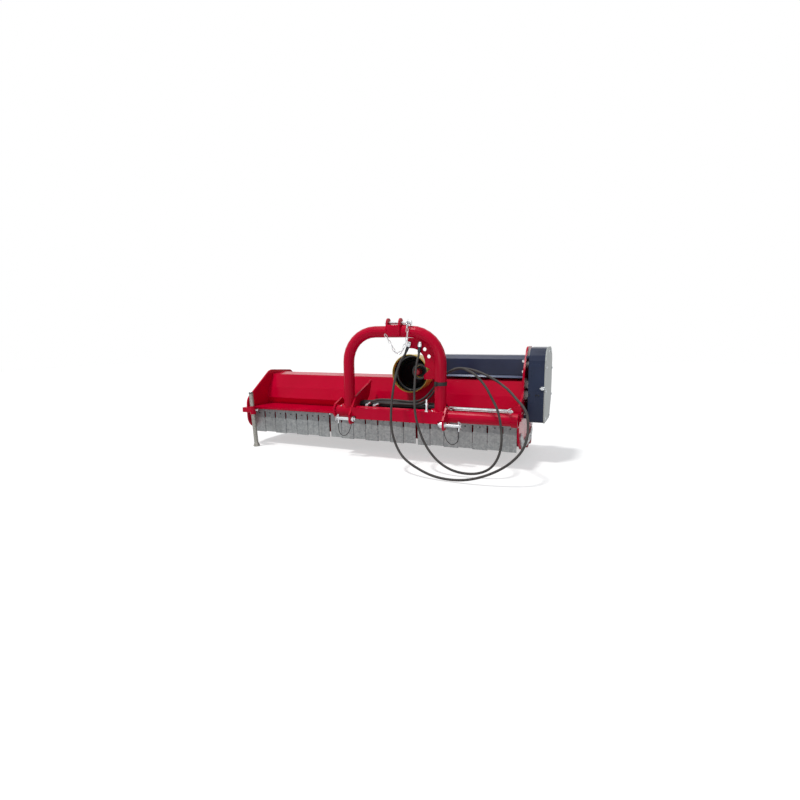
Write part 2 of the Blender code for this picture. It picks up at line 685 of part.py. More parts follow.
def build_belt_case():
    """The dark case, open towards the lid and held off the end plate by spacers, and its light lid."""
    holes = [ring_points((ROTOR_Y, ROTOR_Z), ROTOR_SHAFT_R + 0.008, 16),
             ring_points((SHAFT_Y, SHAFT_Z), SHAFT_R + 0.008, 16)]
    bm = prism(bmesh.new(), case_outline(), "X", CASE_BACK_X, CASE_LID_X)
    case = add_solid("belt_case", bm, SLATE, 0.35, 0.0, machine)
    hollow = prism(bmesh.new(), case_outline(CASE_WALL), "X", CASE_BACK_X + CASE_WALL, CASE_LID_X + 0.01)
    combine(case, hollow, "DIFFERENCE")
    through = bmesh.new()
    for hole in holes:
        prism(through, hole, "X", CASE_BACK_X - 0.01, CASE_BACK_X + CASE_WALL + 0.01)
    combine(case, through, "DIFFERENCE")
    spacers = bmesh.new()
    for y, z in ((0.170, 0.680), (0.130, 0.300), (0.410, 0.650), (0.330, 0.455)):
        cylinder(spacers, (0, y, z), (1, 0, 0), HALF + END_PLATE + FIT, CASE_BACK_X + 0.002, 0.012, 8)
    combine(case, spacers, "UNION")
    bm = prism(bmesh.new(), case_outline(-0.0025), "X", CASE_LID_X + FIT, CASE_OUT_X)
    lid = add_solid("belt_case_lid", bm, LID_GREY, 0.45, 0.0, machine)
    hollow = prism(bmesh.new(), case_outline(CASE_WALL), "X", CASE_LID_X - 0.01, CASE_OUT_X - CASE_WALL)
    combine(lid, hollow, "DIFFERENCE")


# Gearbox, cross shaft and its cover, input shaft and its guard
GEARBOX_FRONT = SHAFT_Y - GEARBOX_DEPTH / 2
BOSS = 0.012


def build_gearbox():
    low = (PTO_X - GEARBOX_WIDTH / 2, GEARBOX_FRONT, SEAT_Z + FIT)
    high = (PTO_X + GEARBOX_WIDTH / 2, GEARBOX_FRONT + GEARBOX_DEPTH, 2 * SHAFT_Z - SEAT_Z)
    bm = box(bmesh.new(), low, high)
    upright = [e for e in bm.edges if e.verts[0].co.z > SHAFT_Z or e.verts[1].co.z > SHAFT_Z]
    bmesh.ops.bevel(bm, geom=upright, offset=0.018, segments=2, affect="EDGES", clamp_overlap=True)
    gearbox = add_solid("gearbox", bm, IRON, 0.5, 0.2, machine, 30)
    bosses = cylinder(bmesh.new(), (PTO_X, GEARBOX_FRONT, SHAFT_Z), (0, -1, 0), -0.02, BOSS, 0.058, 20)
    combine(gearbox, bosses, "UNION")
    side = cylinder(bmesh.new(), (high[0], SHAFT_Y, SHAFT_Z), (1, 0, 0), -0.02, BOSS, 0.032, 16)
    combine(gearbox, side, "UNION")
    plug = cylinder(bmesh.new(), (PTO_X - 0.03, SHAFT_Y + 0.03, high[2]), (0, 0, 1), -0.01, 0.014, 0.012, 6)
    combine(gearbox, plug, "UNION")


def build_shield():
    """The cone-shaped guard round the input shaft."""
    base = GEARBOX_FRONT - BOSS - FIT
    skin = [(-base, 0.040), (-base, 0.072), (-base + 0.070, SHIELD_R - 0.004),
            (-SHIELD_FRONT - 0.012, SHIELD_R - 0.002), (-SHIELD_FRONT, SHIELD_R),
            (-SHIELD_FRONT, SHIELD_R - SHIELD_WALL), (-base + 0.070, SHIELD_R - 0.004 - SHIELD_WALL),
            (-base + SHIELD_WALL, 0.070), (-base + SHIELD_WALL, 0.040)]
    bm = turned(bmesh.new(), skin, (PTO_X, 0, SHAFT_Z), (0, -1, 0), 24, closed=True)
    add_solid("pto_shield", bm, YELLOW, 0.35, 0.0, machine, 40)


def build_input_shaft():
    """The splined stub and the red cap that protects it."""
    start = -(GEARBOX_FRONT - BOSS - FIT)
    length = 0.078
    outline = []
    for i in range(6):
        outline += arc((0, 0), SHAFT_R, i * 60 - 14, i * 60 + 14, 1)
        outline += arc((0, 0), SHAFT_R - 0.003, i * 60 + 19, i * 60 + 41, 1)
    section = [(PTO_X + x, SHAFT_Z + y) for x, y in outline]
    bm = prism(bmesh.new(), section, "Y", -start, -start - length)
    add_solid("pto_stub", bm, STEEL, 0.35, 0.9, pto_input)
    tip = start + length
    cap = [(tip + 0.004, 0), (tip + 0.004, 0.018), (tip, 0.023), (tip - 0.045, 0.025),
           (tip - 0.045, SHAFT_R + 0.0008), (tip + FIT, SHAFT_R + 0.0008), (tip + FIT, 0)]
    bm = turned(bmesh.new(), cap, (PTO_X, 0, SHAFT_Z), (0, -1, 0), 16)
    add_solid("pto_cap", bm, RED, 0.4, 0.0, pto_input, 40)


def build_cross_shaft():
    start = PTO_X + GEARBOX_WIDTH / 2 + BOSS + FIT
    end = PULLEY_LEFT + PULLEY_WIDTH
    bm = cylinder(bmesh.new(), (0, SHAFT_Y, SHAFT_Z), (1, 0, 0), start, end, SHAFT_R, 16)
    add_solid("cross_shaft", bm, STEEL, 0.4, 0.8, cross_shaft, 30)


def build_shaft_cover():
    """A folded channel over the cross shaft, from the gearbox to the right end plate."""
    f, b, low, top, c = COVER_FRONT, COVER_BACK, COVER_BOTTOM, COVER_TOP, COVER_CHAMFER
    outer = [(f + 0.014, low - 0.003), (f, low), (f, top - c), (f + c, top), (b - c, top), (b, top - c),
             (b, low)]
    inner = offset(outer, COVER_WALL)
    bm = prism(bmesh.new(), outer + inner[::-1], "X", COVER_LEFT, HALF - FIT)
    add_solid("shaft_cover", bm, SLATE, 0.35, 0.0, machine)


# Front flaps on their hinge rod
FLAP_PITCH = CUT_WIDTH / FLAP_COUNT


def build_flap_rod():
    """The flaps' rod, hung under the deck by lugs between the groups of flaps."""
    bm = cylinder(bmesh.new(), (0, FLAP_ROD_Y, FLAP_ROD_Z), (1, 0, 0), -HALF + FIT, HALF - FIT, FLAP_ROD_R, 8)
    rod = add_solid("flap_rod", bm, ZINC, 0.4, 0.8, machine)
    hangers = bmesh.new()
    for i in range(FLAP_GROUPS + 1):
        x = -HALF + 0.0034 + i * (CUT_WIDTH - 0.0068) / FLAP_GROUPS
        low, high = FLAP_ROD_Z - 0.009, DECK_Z - SHEET - FIT
        prism(hangers, [(FLAP_ROD_Y - 0.009, low), (FLAP_ROD_Y + 0.009, low),
                        (FLAP_ROD_Y + 0.012, high), (FLAP_ROD_Y - 0.012, high)], "X", x - 0.003, x + 0.003)
    combine(rod, hangers, "UNION")


def build_flaps():
    """Three hinged groups of steel flaps; the flaps of a group hang from one rolled eye."""
    y, z, tip = FLAP_ROD_Y, FLAP_ROD_Z, FLAP_ROD_Z - FLAP_LENGTH
    front = y - FLAP_EYE_R * 0.866
    fold = z - 0.062
    outline = [(front, z), (y - FLAP_EYE_R * 0.5, z + FLAP_EYE_R), (y + FLAP_EYE_R * 0.5, z + FLAP_EYE_R),
               (y + FLAP_EYE_R, z), (front + FLAP_THICK, z - 0.016), (front + FLAP_THICK, fold),
               (front + FLAP_THICK + 0.004, tip), (front + 0.004, tip), (front, fold)]
    hole = ring_points((y, z), FLAP_ROD_R + 0.0007, 8)
    each = FLAP_COUNT // FLAP_GROUPS
    for group, name in enumerate(("flaps_left", "flaps_middle", "flaps_right")):
        first, last = -HALF + group * each * FLAP_PITCH, -HALF + (group + 1) * each * FLAP_PITCH
        bm = prism(bmesh.new(), outline, "X", first + 0.008, last - 0.008, [hole])
        flaps = add_solid(name, bm, GALVANISED, 0.45, 0.6, (flaps_a, flaps_b, flaps_c)[group])
        slots = bmesh.new()
        for i in range(1, each):
            x = first + i * FLAP_PITCH
            top = z - FLAP_EYE_R - 0.004
            wide, narrow = FLAP_SLOT / 2, FLAP_GAP / 2
            low = z - FLAP_SLOT_LENGTH
            cut = [(x - narrow, tip - 0.02), (x + narrow, tip - 0.02), (x + narrow, low - wide),
                   (x + wide, low), (x + wide, top), (x - wide, top), (x - wide, low),
                   (x - narrow, low - wide)]
            prism(slots, cut, "Y", y - 0.03, y + 0.03)
        for i in range(each):
            if (i + group * each) % 2:
                x = first + i * FLAP_PITCH
                box(slots, (x + FLAP_GAP, y - 0.03, tip - 0.02),
                    (x + FLAP_PITCH - FLAP_GAP, y + 0.03, tip + 0.005))
        combine(flaps, slots, "DIFFERENCE")


# Rear roller, its brackets and the rear hood
def build_roller():
    reach = HALF - ROLLER_GAP
    axle = HALF - 0.002
    profile = [(-axle, 0), (-axle, ROLLER_AXLE_R), (-reach, ROLLER_AXLE_R), (-reach, ROLLER_R),
               (reach, ROLLER_R), (reach, ROLLER_AXLE_R), (axle, ROLLER_AXLE_R), (axle, 0)]
    bm = turned(bmesh.new(), profile, (0, ROLLER_Y, ROLLER_R), (1, 0, 0), 24)
    add_solid("rear_roller", bm, RED, 0.5, 0.0, roller, 40)
    outline = rounded([(0.585, 0.030, 0.02), (0.620, 0.070, 0.03), (0.560, 0.160, 0.03), (0.420, 0.240, 0.02),
                       (0.400, 0.170, 0.02), (0.530, 0.035, 0.02)], 2)
    hole = ring_points((ROLLER_Y, ROLLER_R), ROLLER_AXLE_R + 0.0008, 16)
    for name, inner in (("roller_bracket_left", -HALF + FIT), ("roller_bracket_right", HALF - FIT - 0.012)):
        bm = prism(bmesh.new(), outline, "X", inner, inner + 0.012, [hole])
        add_solid(name, bm, RED, 0.4, 0.0, machine)


def build_rear_hood():
    """The hinged rear hood; the rod along its top edge turns in holes of the end plates."""
    y, z = DOOR_HINGE_Y, DOOR_HINGE_Z
    reach = HALF - 0.006
    outline = [(y - DOOR_ROD_R * 0.6, z - DOOR_ROD_R * 0.6), (y - DOOR_ROD_R * 0.6, z + DOOR_ROD_R * 0.6),
               (y + DOOR_ROD_R * 0.8, z + DOOR_ROD_R * 0.4), (0.555, 0.380), (0.578, 0.270), (0.580, 0.200),
               (0.575, 0.200), (0.573, 0.269), (0.550, 0.376), (y + 0.001, z - DOOR_ROD_R * 0.8)]
    bm = prism(bmesh.new(), outline, "X", -reach, reach)
    hood = add_solid("rear_hood", bm, RED, 0.35, 0.0, door)
    rod_end = HALF + END_PLATE + 0.002
    rod = cylinder(bmesh.new(), (0, y, z), (1, 0, 0), -rod_end, rod_end, DOOR_ROD_R, 12)
    combine(hood, rod, "UNION")


def build_counter_knife():
    """A welded strip inside the casing against which the hammers shred."""
    angle, gap = CASING[0]
    low = polar(angle, SWING_R + 0.012)
    y, z = low[0] - 0.006, DECK_Z - SHEET - 0.016 - FIT
    bm = box(bmesh.new(), (-HALF + 0.01, y - 0.016, z), (HALF - 0.01, y + 0.004, z + 0.016))
    add_solid("counter_knife", bm, STEEL, 0.5, 0.7, machine)


# Slide tube and the brackets at its two ends
def build_slide():
    bm = pipe(bmesh.new(), (0, SLIDE_Y, SLIDE_Z), (1, 0, 0), SLIDE_LEFT, SLIDE_RIGHT, SLIDE_R,
              SLIDE_R - 0.006, TUBE_SIDES)
    add_solid("slide_tube", bm, RED, 0.3, 0.0, machine, 40)
    bore = ring_points((SLIDE_Y, SLIDE_Z), SLIDE_R + FIT * 1.2, TUBE_SIDES)
    deck = DECK_Z + FIT
    outline = [(-0.157, 0.288), (-0.130, 0.260), (DECK_FRONT - FIT, 0.260), (DECK_FRONT - FIT, deck),
               (0.060, deck), (0.060, 0.306), (-0.020, 0.372), (-0.045, 0.396), (-0.090, 0.376),
               (-0.136, 0.360), (-0.157, 0.336)]
    bm = prism(bmesh.new(), outline, "X", SLIDE_LEFT + 0.002, SLIDE_LEFT + 0.014, [bore])
    add_solid("slide_bracket_left", bm, RED, 0.35, 0.0, machine)
    bm = pipe(bmesh.new(), (0, SLIDE_Y, SLIDE_Z), (1, 0, 0), SLIDE_RIGHT - 0.038, SLIDE_RIGHT + 0.003,
              SLIDE_R + 0.0075, SLIDE_R + FIT * 1.2, TUBE_SIDES)
    bracket = add_solid("slide_bracket_right", bm, RED, 0.35, 0.0, machine)
    x, z = RAM_EYE_X, RAM_BOLT_Z
    plate = [(x - 0.024, z - 0.020), (x - 0.016, z + 0.010), (x + 0.016, z + 0.028), (x + 0.044, z + 0.040),
             (x + 0.064, z + 0.025), (x + 0.064, z - 0.055), (x + 0.017, z - 0.084), (x + 0.017, z - 0.048)]
    hole = ring_points((RAM_EYE_X, RAM_BOLT_Z), 0.0085, 10)
    front = DECK_FRONT - FIT - 0.012
    combine(bracket, prism(bmesh.new(), plate, "Y", front, DECK_FRONT - FIT, [hole]), "UNION")
    tube_space = cylinder(bmesh.new(), (0, SLIDE_Y, SLIDE_Z), (1, 0, 0), SLIDE_RIGHT - 0.135,
                          SLIDE_RIGHT + 0.03, SLIDE_R + FIT * 1.2, TUBE_SIDES)
    combine(bracket, tube_space, "DIFFERENCE")


# Carriage: sleeves, ears, beam and the arch
def ear_outline(with_fin):
    """Side view of an ear plate; the left one has a fin that braces it over the hood."""
    low, front = HITCH_PIN_Z - 0.034, HITCH_PIN_Y - 0.026
    start = [(front + 0.014, low), (HITCH_PIN_Y + 0.028, low + 0.002), (SLIDE_Y - 0.028, 0.262),
             (SLIDE_Y + 0.020, 0.255), (-0.060, 0.262), (-0.058, 0.330)]
    if with_fin:
        return start + [(0.030, 0.336), (0.098, 0.398), (0.122, 0.460), (0.136, 0.510), (0.090, 0.488),
                        (-0.040, 0.440), (-0.110, 0.410), (-0.148, 0.360), (front - 0.002, 0.300),
                        (front, low + 0.016)]
    return start[:-1] + [(-0.058, 0.310), (-0.060, 0.350), (-0.078, 0.372), (-0.136, 0.372), (-0.164, 0.340),
                         (front - 0.002, 0.300), (front, low + 0.016)]


def build_carriage_frame():
    """The welded carriage: two ears, the sleeves that slide on the tube, and the beam between the ears."""
    bm = bmesh.new()
    tube = ring_points((SLIDE_Y, SLIDE_Z), SLIDE_R + 0.004, TUBE_SIDES)
    for x, fin in ((EAR_LEFT, True), (EAR_RIGHT, False)):
        merge_into(bm, prism(bmesh.new(), ear_outline(fin), "X", x, x + EAR_THICK, [tube]))
    frame = add_solid("carriage_frame", bm, RED, 0.35, 0.0, carriage)
    sleeves = bmesh.new()
    for x in (LEG_LEFT, LEG_RIGHT):
        merge_into(sleeves, pipe(bmesh.new(), (0, SLIDE_Y, SLIDE_Z), (1, 0, 0), x - SLEEVE_LENGTH / 2 - 0.008,
                                 x + ARCH_R + EAR_THICK + 0.006, SLEEVE_R, SLIDE_R + 0.0006,
                                 TUBE_SIDES))
    combine(frame, sleeves, "UNION")
    low = SLIDE_Z - BEAM_HEIGHT / 2 - 0.004
    high = low + BEAM_HEIGHT
    f, b, w = BEAM_FRONT, BEAM_FRONT + BEAM_DEPTH, BEAM_WALL
    outline = [(f, low), (b, low), (b, low + w), (f + w, low + w), (f + w, high - w), (b, high - w),
               (b, high), (f, high)]
    beam = prism(bmesh.new(), outline, "X", EAR_LEFT + EAR_THICK - 0.003, EAR_RIGHT + 0.003)
    combine(frame, beam, "UNION")
    nut_room = bmesh.new()
    for start, end in ((EAR_LEFT + EAR_THICK, EAR_LEFT + EAR_THICK + 0.034), (EAR_RIGHT - 0.034, EAR_RIGHT)):
        box(nut_room, (start, f - 0.01, low - 0.01), (end, b + 0.0005, HITCH_PIN_Z + 0.023))
    combine(frame, nut_room, "DIFFERENCE")
    pin_holes = bmesh.new()
    for x in (EAR_LEFT, EAR_RIGHT):
        merge_into(pin_holes, cylinder(bmesh.new(), (x, HITCH_PIN_Y, HITCH_PIN_Z), (1, 0, 0), -0.01,
                                       EAR_THICK + 0.01, HITCH_PIN_R + FIT, PIN_SIDES))
    combine(frame, pin_holes, "DIFFERENCE")
    bolt = [(high - 0.004, 0), (high - 0.004, 0.013), (high + 0.008, 0.013), (high + 0.008, 0.0075),
            (high + 0.044, 0.0075), (high + 0.044, 0.011), (high + 0.056, 0.011), (high + 0.056, 0.006),
            (high + 0.080, 0.006), (high + 0.080, 0)]
    lock = turned(bmesh.new(), bolt, (LEG_RIGHT - ARCH_R - 0.036, f + BEAM_DEPTH / 2, 0), (0, 0, 1), 8)
    combine(frame, lock, "UNION")


def arch_line():
    """The centre line of the arch in the XZ plane."""
    low_bend = ARCH_TOP - ARCH_BEND
    left = arc((LEG_LEFT + ARCH_BEND, low_bend), ARCH_BEND, 180, 90, 8)
    right = arc((LEG_RIGHT - ARCH_BEND, low_bend), ARCH_BEND, 90, 0, 8)
    return [(LEG_LEFT, ARCH_FOOT + FIT), *left, *right, (LEG_RIGHT, ARCH_FOOT + FIT)]


def build_arch():
    """The arch, its legs cut to sit on the round sleeves."""
    points = [Vector((x, SLIDE_Y, z)) for x, z in arch_line()]
    arch = add_solid("mast_arch", bent_bar(bmesh.new(), points, ARCH_R, 6), RED, 0.3, 0.0, carriage, 40)
    seats = cylinder(bmesh.new(), (0, SLIDE_Y, SLIDE_Z), (1, 0, 0), LEG_LEFT - 0.1, LEG_RIGHT + 0.1,
                     SLEEVE_R + FIT, TUBE_SIDES)
    combine(arch, seats, "DIFFERENCE")


def build_top_link():
    """Two ears in front of the arch's top, on a saddle plate, with the pin through them."""
    y, z = TOP_PIN_Y, TOP_PIN_Z
    hug = arc((SLIDE_Y, ARCH_TOP), ARCH_R + 2 * FIT, 228, 75, 12)
    outline = [*arc((y, z), TOP_EAR_R, 0, 180, 7), (SLIDE_Y - ARCH_R - 0.022, ARCH_TOP + 0.01),
               (SLIDE_Y - ARCH_R - 0.018, ARCH_TOP - 0.030), *hug]
    hole = ring_points((y, z), TOP_PIN_R + 0.0006, 10)
    bm = bmesh.new()
    half = TOP_EAR_GAP / 2
    for x in (TOP_X - half - TOP_EAR_THICK, TOP_X + half):
        merge_into(bm, prism(bmesh.new(), outline, "X", x, x + TOP_EAR_THICK, [hole]))
    ears = add_solid("top_link_ears", bm, RED, 0.35, 0.0, carriage)
    saddle_out = arc((SLIDE_Y, ARCH_TOP), ARCH_R + 0.008, 100, 222, 8)
    saddle_in = arc((SLIDE_Y, ARCH_TOP), ARCH_R + 2 * FIT, 222, 100, 12)
    saddle = prism(bmesh.new(), saddle_out + saddle_in, "X", TOP_X - half - TOP_EAR_THICK - 0.012,
                   TOP_X + half + TOP_EAR_THICK + 0.045)
    combine(ears, saddle, "UNION")
    left = -half - TOP_EAR_THICK - 0.016
    right = half + TOP_EAR_THICK + 0.062
    profile = [(left, 0), (left, TOP_PIN_R - 0.002), (left + 0.003, TOP_PIN_R), (right, TOP_PIN_R),
               (right, 0.0145), (right + 0.008, 0.0145), (right + 0.008, 0)]
    bm = turned(bmesh.new(), profile, (TOP_X, y, z), (1, 0, 0), 12)
    add_solid("top_link_pin", bm, ZINC, 0.3, 0.9, carriage, 40)


def link(bm, centre, along, side):
    """One oval chain link, lengthwise along one direction and flat across another."""
    d = CHAIN_WIRE_R
    half_run = (CHAIN_PITCH + 0.0024) / 2 - 0.0065
    points = []
    for first in (-90, 90):
        for k in range(4):
            turn = math.radians(first + 60 * k)
            shift = half_run if first < 0 else -half_run
            points.append(centre + along * (shift + math.cos(turn) * 0.0065) + side * math.sin(turn) * 0.0065)
    bent_bar(bm, points, d, 0, cyclic=True)


def build_chain():
    """The top pin's chain: real links, each through the next, hanging in a curve."""
    y = SLIDE_Y - ARCH_R - 0.022 - CHAIN_WIRE_R - FIT
    left_x = TOP_X - TOP_EAR_GAP / 2 - TOP_EAR_THICK / 2
    pin_front = TOP_PIN_Y - TOP_PIN_R - CHAIN_WIRE_R - FIT
    x, z = TOP_X, ARCH_TOP
    knots = [(left_x, y, z - 0.026), (x - 0.025, y - 0.002, z - 0.054), (x - 0.003, y - 0.006, z - 0.084),
             (x + 0.016, y - 0.006, z - 0.118), (x + 0.041, y - 0.006, z - 0.140),
             (x + 0.071, y - 0.006, z - 0.123), (x + 0.090, y - 0.006, z - 0.086),
             (x + 0.104, y - 0.004, z - 0.043), (x + 0.107, y - 0.001, z - 0.004),
             (x + 0.101, y + 0.008, z + 0.030), (x + 0.097, pin_front, TOP_PIN_Z + 0.004)]
    line, length = smooth_line(knots, CHAIN_PITCH / 6)
    dense = [Vector(p) for p in line]
    centres = [dense[0]]
    for point in dense:
        ahead = (point - centres[-1]).length >= CHAIN_PITCH
        if ahead and (point - dense[0]).length > CHAIN_PITCH:
            previous = centres[-1]
            centres.append(previous + (point - previous).normalized() * CHAIN_PITCH)
    across = Vector((0, 1, 0))
    odd, even = bmesh.new(), bmesh.new()
    for i, centre in enumerate(centres):
        before = centres[max(i - 1, 0)]
        after = centres[min(i + 1, len(centres) - 1)]
        along = (after - before).normalized()
        flat = across if i % 2 else along.cross(across).normalized()
        link(odd if i % 2 else even, centre, along, flat)
    print(f"chain: {len(centres)} links, {length:.3f} m, ends at {tuple(centres[-1])}")
    chain = add_solid("top_pin_chain", even, ZINC, 0.35, 0.9, carriage)
    combine(chain, odd, "UNION")


# Lower hitch pins, linch pins with their rings, and lanyards
def hitch_sides():
    """Each lower pin: its outward direction, and the faces of its ear."""
    return ((-1, EAR_LEFT, EAR_LEFT + EAR_THICK), (1, EAR_RIGHT + EAR_THICK, EAR_RIGHT))


LINCH_R = 0.0045
LINCH_OUT = HITCH_PIN_LENGTH - 0.014
BAIL_R = 0.0195
BAIL_WIRE = 0.0018
LINCH_HEAD_Z = HITCH_PIN_Z + HITCH_PIN_R + 0.012


def build_hitch_pins():
    """The lower pins with their nuts, and the linch pins through their ends."""
    for (side, outer, inner), name in zip(hitch_sides(), ("left", "right")):
        base = HITCH_SHOULDER
        back = EAR_THICK + 0.030
        neck, nut = HITCH_PIN_R - 0.0005, -EAR_THICK - FIT
        profile = [(-back, 0), (-back, neck), (nut - 0.018, neck), (nut - 0.018, 0.019), (nut, 0.019),
                   (nut, neck), (FIT, neck), (FIT, 0.020), (base, 0.020), (base, HITCH_PIN_R),
                   (base + HITCH_PIN_LENGTH - 0.004, HITCH_PIN_R), (base + HITCH_PIN_LENGTH, 0.008),
                   (base + HITCH_PIN_LENGTH, 0)]
        centre = (outer, HITCH_PIN_Y, HITCH_PIN_Z)
        pin = turned(bmesh.new(), profile, centre, (side, 0, 0), PIN_SIDES)
        hitch = add_solid(f"hitch_pin_{name}", pin, ZINC, 0.3, 0.9, carriage, 40)
        x = outer + side * (base + LINCH_OUT)
        stem = [(LINCH_HEAD_Z - 0.058, 0), (LINCH_HEAD_Z - 0.058, LINCH_R), (LINCH_HEAD_Z - 0.006, LINCH_R),
                (LINCH_HEAD_Z - 0.006, 0.007), (LINCH_HEAD_Z + 0.004, 0.007), (LINCH_HEAD_Z + 0.004, 0)]
        linch = turned(bmesh.new(), stem, (x, HITCH_PIN_Y, 0), (0, 0, 1), 8)
        clasp = add_solid(f"linch_pin_{name}", linch, ZINC, 0.3, 0.9, carriage)
        hole = cylinder(bmesh.new(), (x, HITCH_PIN_Y, 0), (0, 0, 1), HITCH_PIN_Z - 0.03, HITCH_PIN_Z + 0.03,
                        LINCH_R + 0.0006, 8)
        combine(hitch, hole, "DIFFERENCE")
        eye = cylinder(bmesh.new(), (x, HITCH_PIN_Y, LINCH_HEAD_Z - 0.001), (0, 1, 0), -0.02, 0.02,
                       BAIL_WIRE + 0.0008, 8)
        combine(clasp, eye, "DIFFERENCE")


def build_bails():
    """The spring ring of each linch pin, pivoted in the pin's head."""
    for (side, outer, inner), name in zip(hitch_sides(), ("left", "right")):
        x = outer + side * (HITCH_SHOULDER + LINCH_OUT)
        top = LINCH_HEAD_Z - 0.001
        carrier = pivot(f"linch_ring_{name}_pivot", (x, HITCH_PIN_Y, top), carriage)
        swing = x + side * (LINCH_R + 0.0045)
        middle = top - BAIL_R - 0.004
        loop = [Vector((x + (swing - x) * min(1.0, (top - p[1]) / 0.012), p[0], p[1]))
                for p in arc((HITCH_PIN_Y, middle), BAIL_R + 0.003, 60, -240, 10)]
        start, end = Vector((x, HITCH_PIN_Y + 0.0085, top)), Vector((x, HITCH_PIN_Y - 0.0085, top))
        line = [Vector((x, HITCH_PIN_Y + 0.002, top)), start, *loop, end,
                Vector((x, HITCH_PIN_Y - 0.002, top))]
        bm = bent_bar(bmesh.new(), line, BAIL_WIRE, 1)
        add_solid(f"linch_ring_{name}", bm, ZINC, 0.3, 0.9, carrier)


def build_lanyards():
    """Coated cables that tie each linch pin to its ear."""
    for (side, outer, inner), name in zip(hitch_sides(), ("left", "right")):
        tip = outer + side * (HITCH_SHOULDER + LINCH_OUT)
        low = HITCH_PIN_Z - 0.034
        foot = LINCH_HEAD_Z - 0.058
        start = Vector((outer - side * 0.006, HITCH_PIN_Y + 0.002, low - FIT))
        end = Vector((tip, HITCH_PIN_Y, foot - FIT))
        down = Vector((0, 0, -0.006))
        knots = [start + down, (outer + side * 0.002, HITCH_PIN_Y, low - 0.036),
                 (outer + side * 0.020, HITCH_PIN_Y - 0.002, low - 0.068),
                 (outer + side * 0.048, HITCH_PIN_Y - 0.004, low - 0.085),
                 (outer + side * 0.076, HITCH_PIN_Y - 0.003, low - 0.074),
                 (outer + side * 0.090, HITCH_PIN_Y - 0.001, low - 0.044), end + down]
        line, length = smooth_line(knots, 0.013)
        line = [start, *line, end]
        points = [Vector(p) - Vector(carriage["place"]) for p in line]
        lanyard = round_curve(f"lanyard_{name}", points, LANYARD_R, 1)
        lanyard.parent = carriage
        lanyard.data.materials.append(finish(f"lanyard_{name}_finish", BLACK, 0.5, 0.0))
        print(f"lanyard {name}: {length:.3f} m")


# Side-shift ram
RAM_LEFT = EAR_LEFT + EAR_THICK + FIT
RAM_RIGHT = RAM_LEFT + RAM_LENGTH
PORT_XS = (RAM_LEFT + 0.0684, RAM_LEFT + 0.1264)
RAM_BOLT_Z = RAM_Z + 0.002


def build_ram():
    bore_start = RAM_LEFT + 0.030
    barrel = [(RAM_LEFT, 0), (RAM_LEFT, 0.022), (bore_start - 0.012, 0.022),
              (bore_start - 0.012, RAM_BARREL_R), (RAM_RIGHT, RAM_BARREL_R),
              (RAM_RIGHT, RAM_ROD_R + 0.0006), (RAM_RIGHT - 0.022, RAM_ROD_R + 0.0006),
              (RAM_RIGHT - 0.022, RAM_BORE_R), (bore_start, RAM_BORE_R), (bore_start, 0)]
    bm = turned(bmesh.new(), barrel, (0, RAM_Y, RAM_Z), (1, 0, 0), 16)
    build_ram_fittings(add_solid("ram_barrel", bm, BLACK, 0.35, 0.2, carriage, 40))
    piston = RAM_RIGHT - 0.060
    eye = RAM_EYE_X - 0.014
    rod = [(piston, 0), (piston, RAM_BORE_R - 0.0006), (piston + 0.024, RAM_BORE_R - 0.0006),
           (piston + 0.024, RAM_ROD_R), (eye, RAM_ROD_R), (eye, 0)]
    bm = turned(bmesh.new(), rod, (0, RAM_Y, RAM_Z), (1, 0, 0), 16)
    piece = add_solid("ram_rod", bm, CHROME, 0.12, 1.0, machine, 40)
    z = RAM_BOLT_Z
    outline = [*arc((RAM_EYE_X, z), 0.022, -110, 130, 8), (RAM_EYE_X - 0.022, RAM_Z + 0.015),
               (RAM_EYE_X - 0.022, RAM_Z - 0.015)]
    hole = ring_points((RAM_EYE_X, z), 0.0085, 10)
    combine(piece, prism(bmesh.new(), outline, "Y", DECK_FRONT, RAM_Y + 0.0145, [hole]), "UNION")


def build_ram_fittings(barrel):
    """Fittings screwed into the barrel's front, each turned towards its hose."""
    bodies, ferrules = bmesh.new(), bmesh.new()
    for x, hose in zip(PORT_XS, HOSES):
        start = RAM_BARREL_R - 0.003
        profile = [(start, 0), (start, 0.011), (start + 0.025, 0.011), (start + 0.025, 0.007),
                   (start + 0.031, 0.007), (start + 0.031, 0)]
        merge_into(bodies, turned(bmesh.new(), profile, (x, RAM_Y, RAM_Z), (0, -1, 0), 8))
        ferrule = [(0.0, 0), (0.0, 0.0085), (0.034, 0.0095), (0.034, 0)]
        merge_into(ferrules, turned(bmesh.new(), ferrule, (x, PORT_Y, RAM_Z), hose["leave"], 8))
    combine(barrel, bodies, "UNION")
    combine(barrel, ferrules, "UNION")


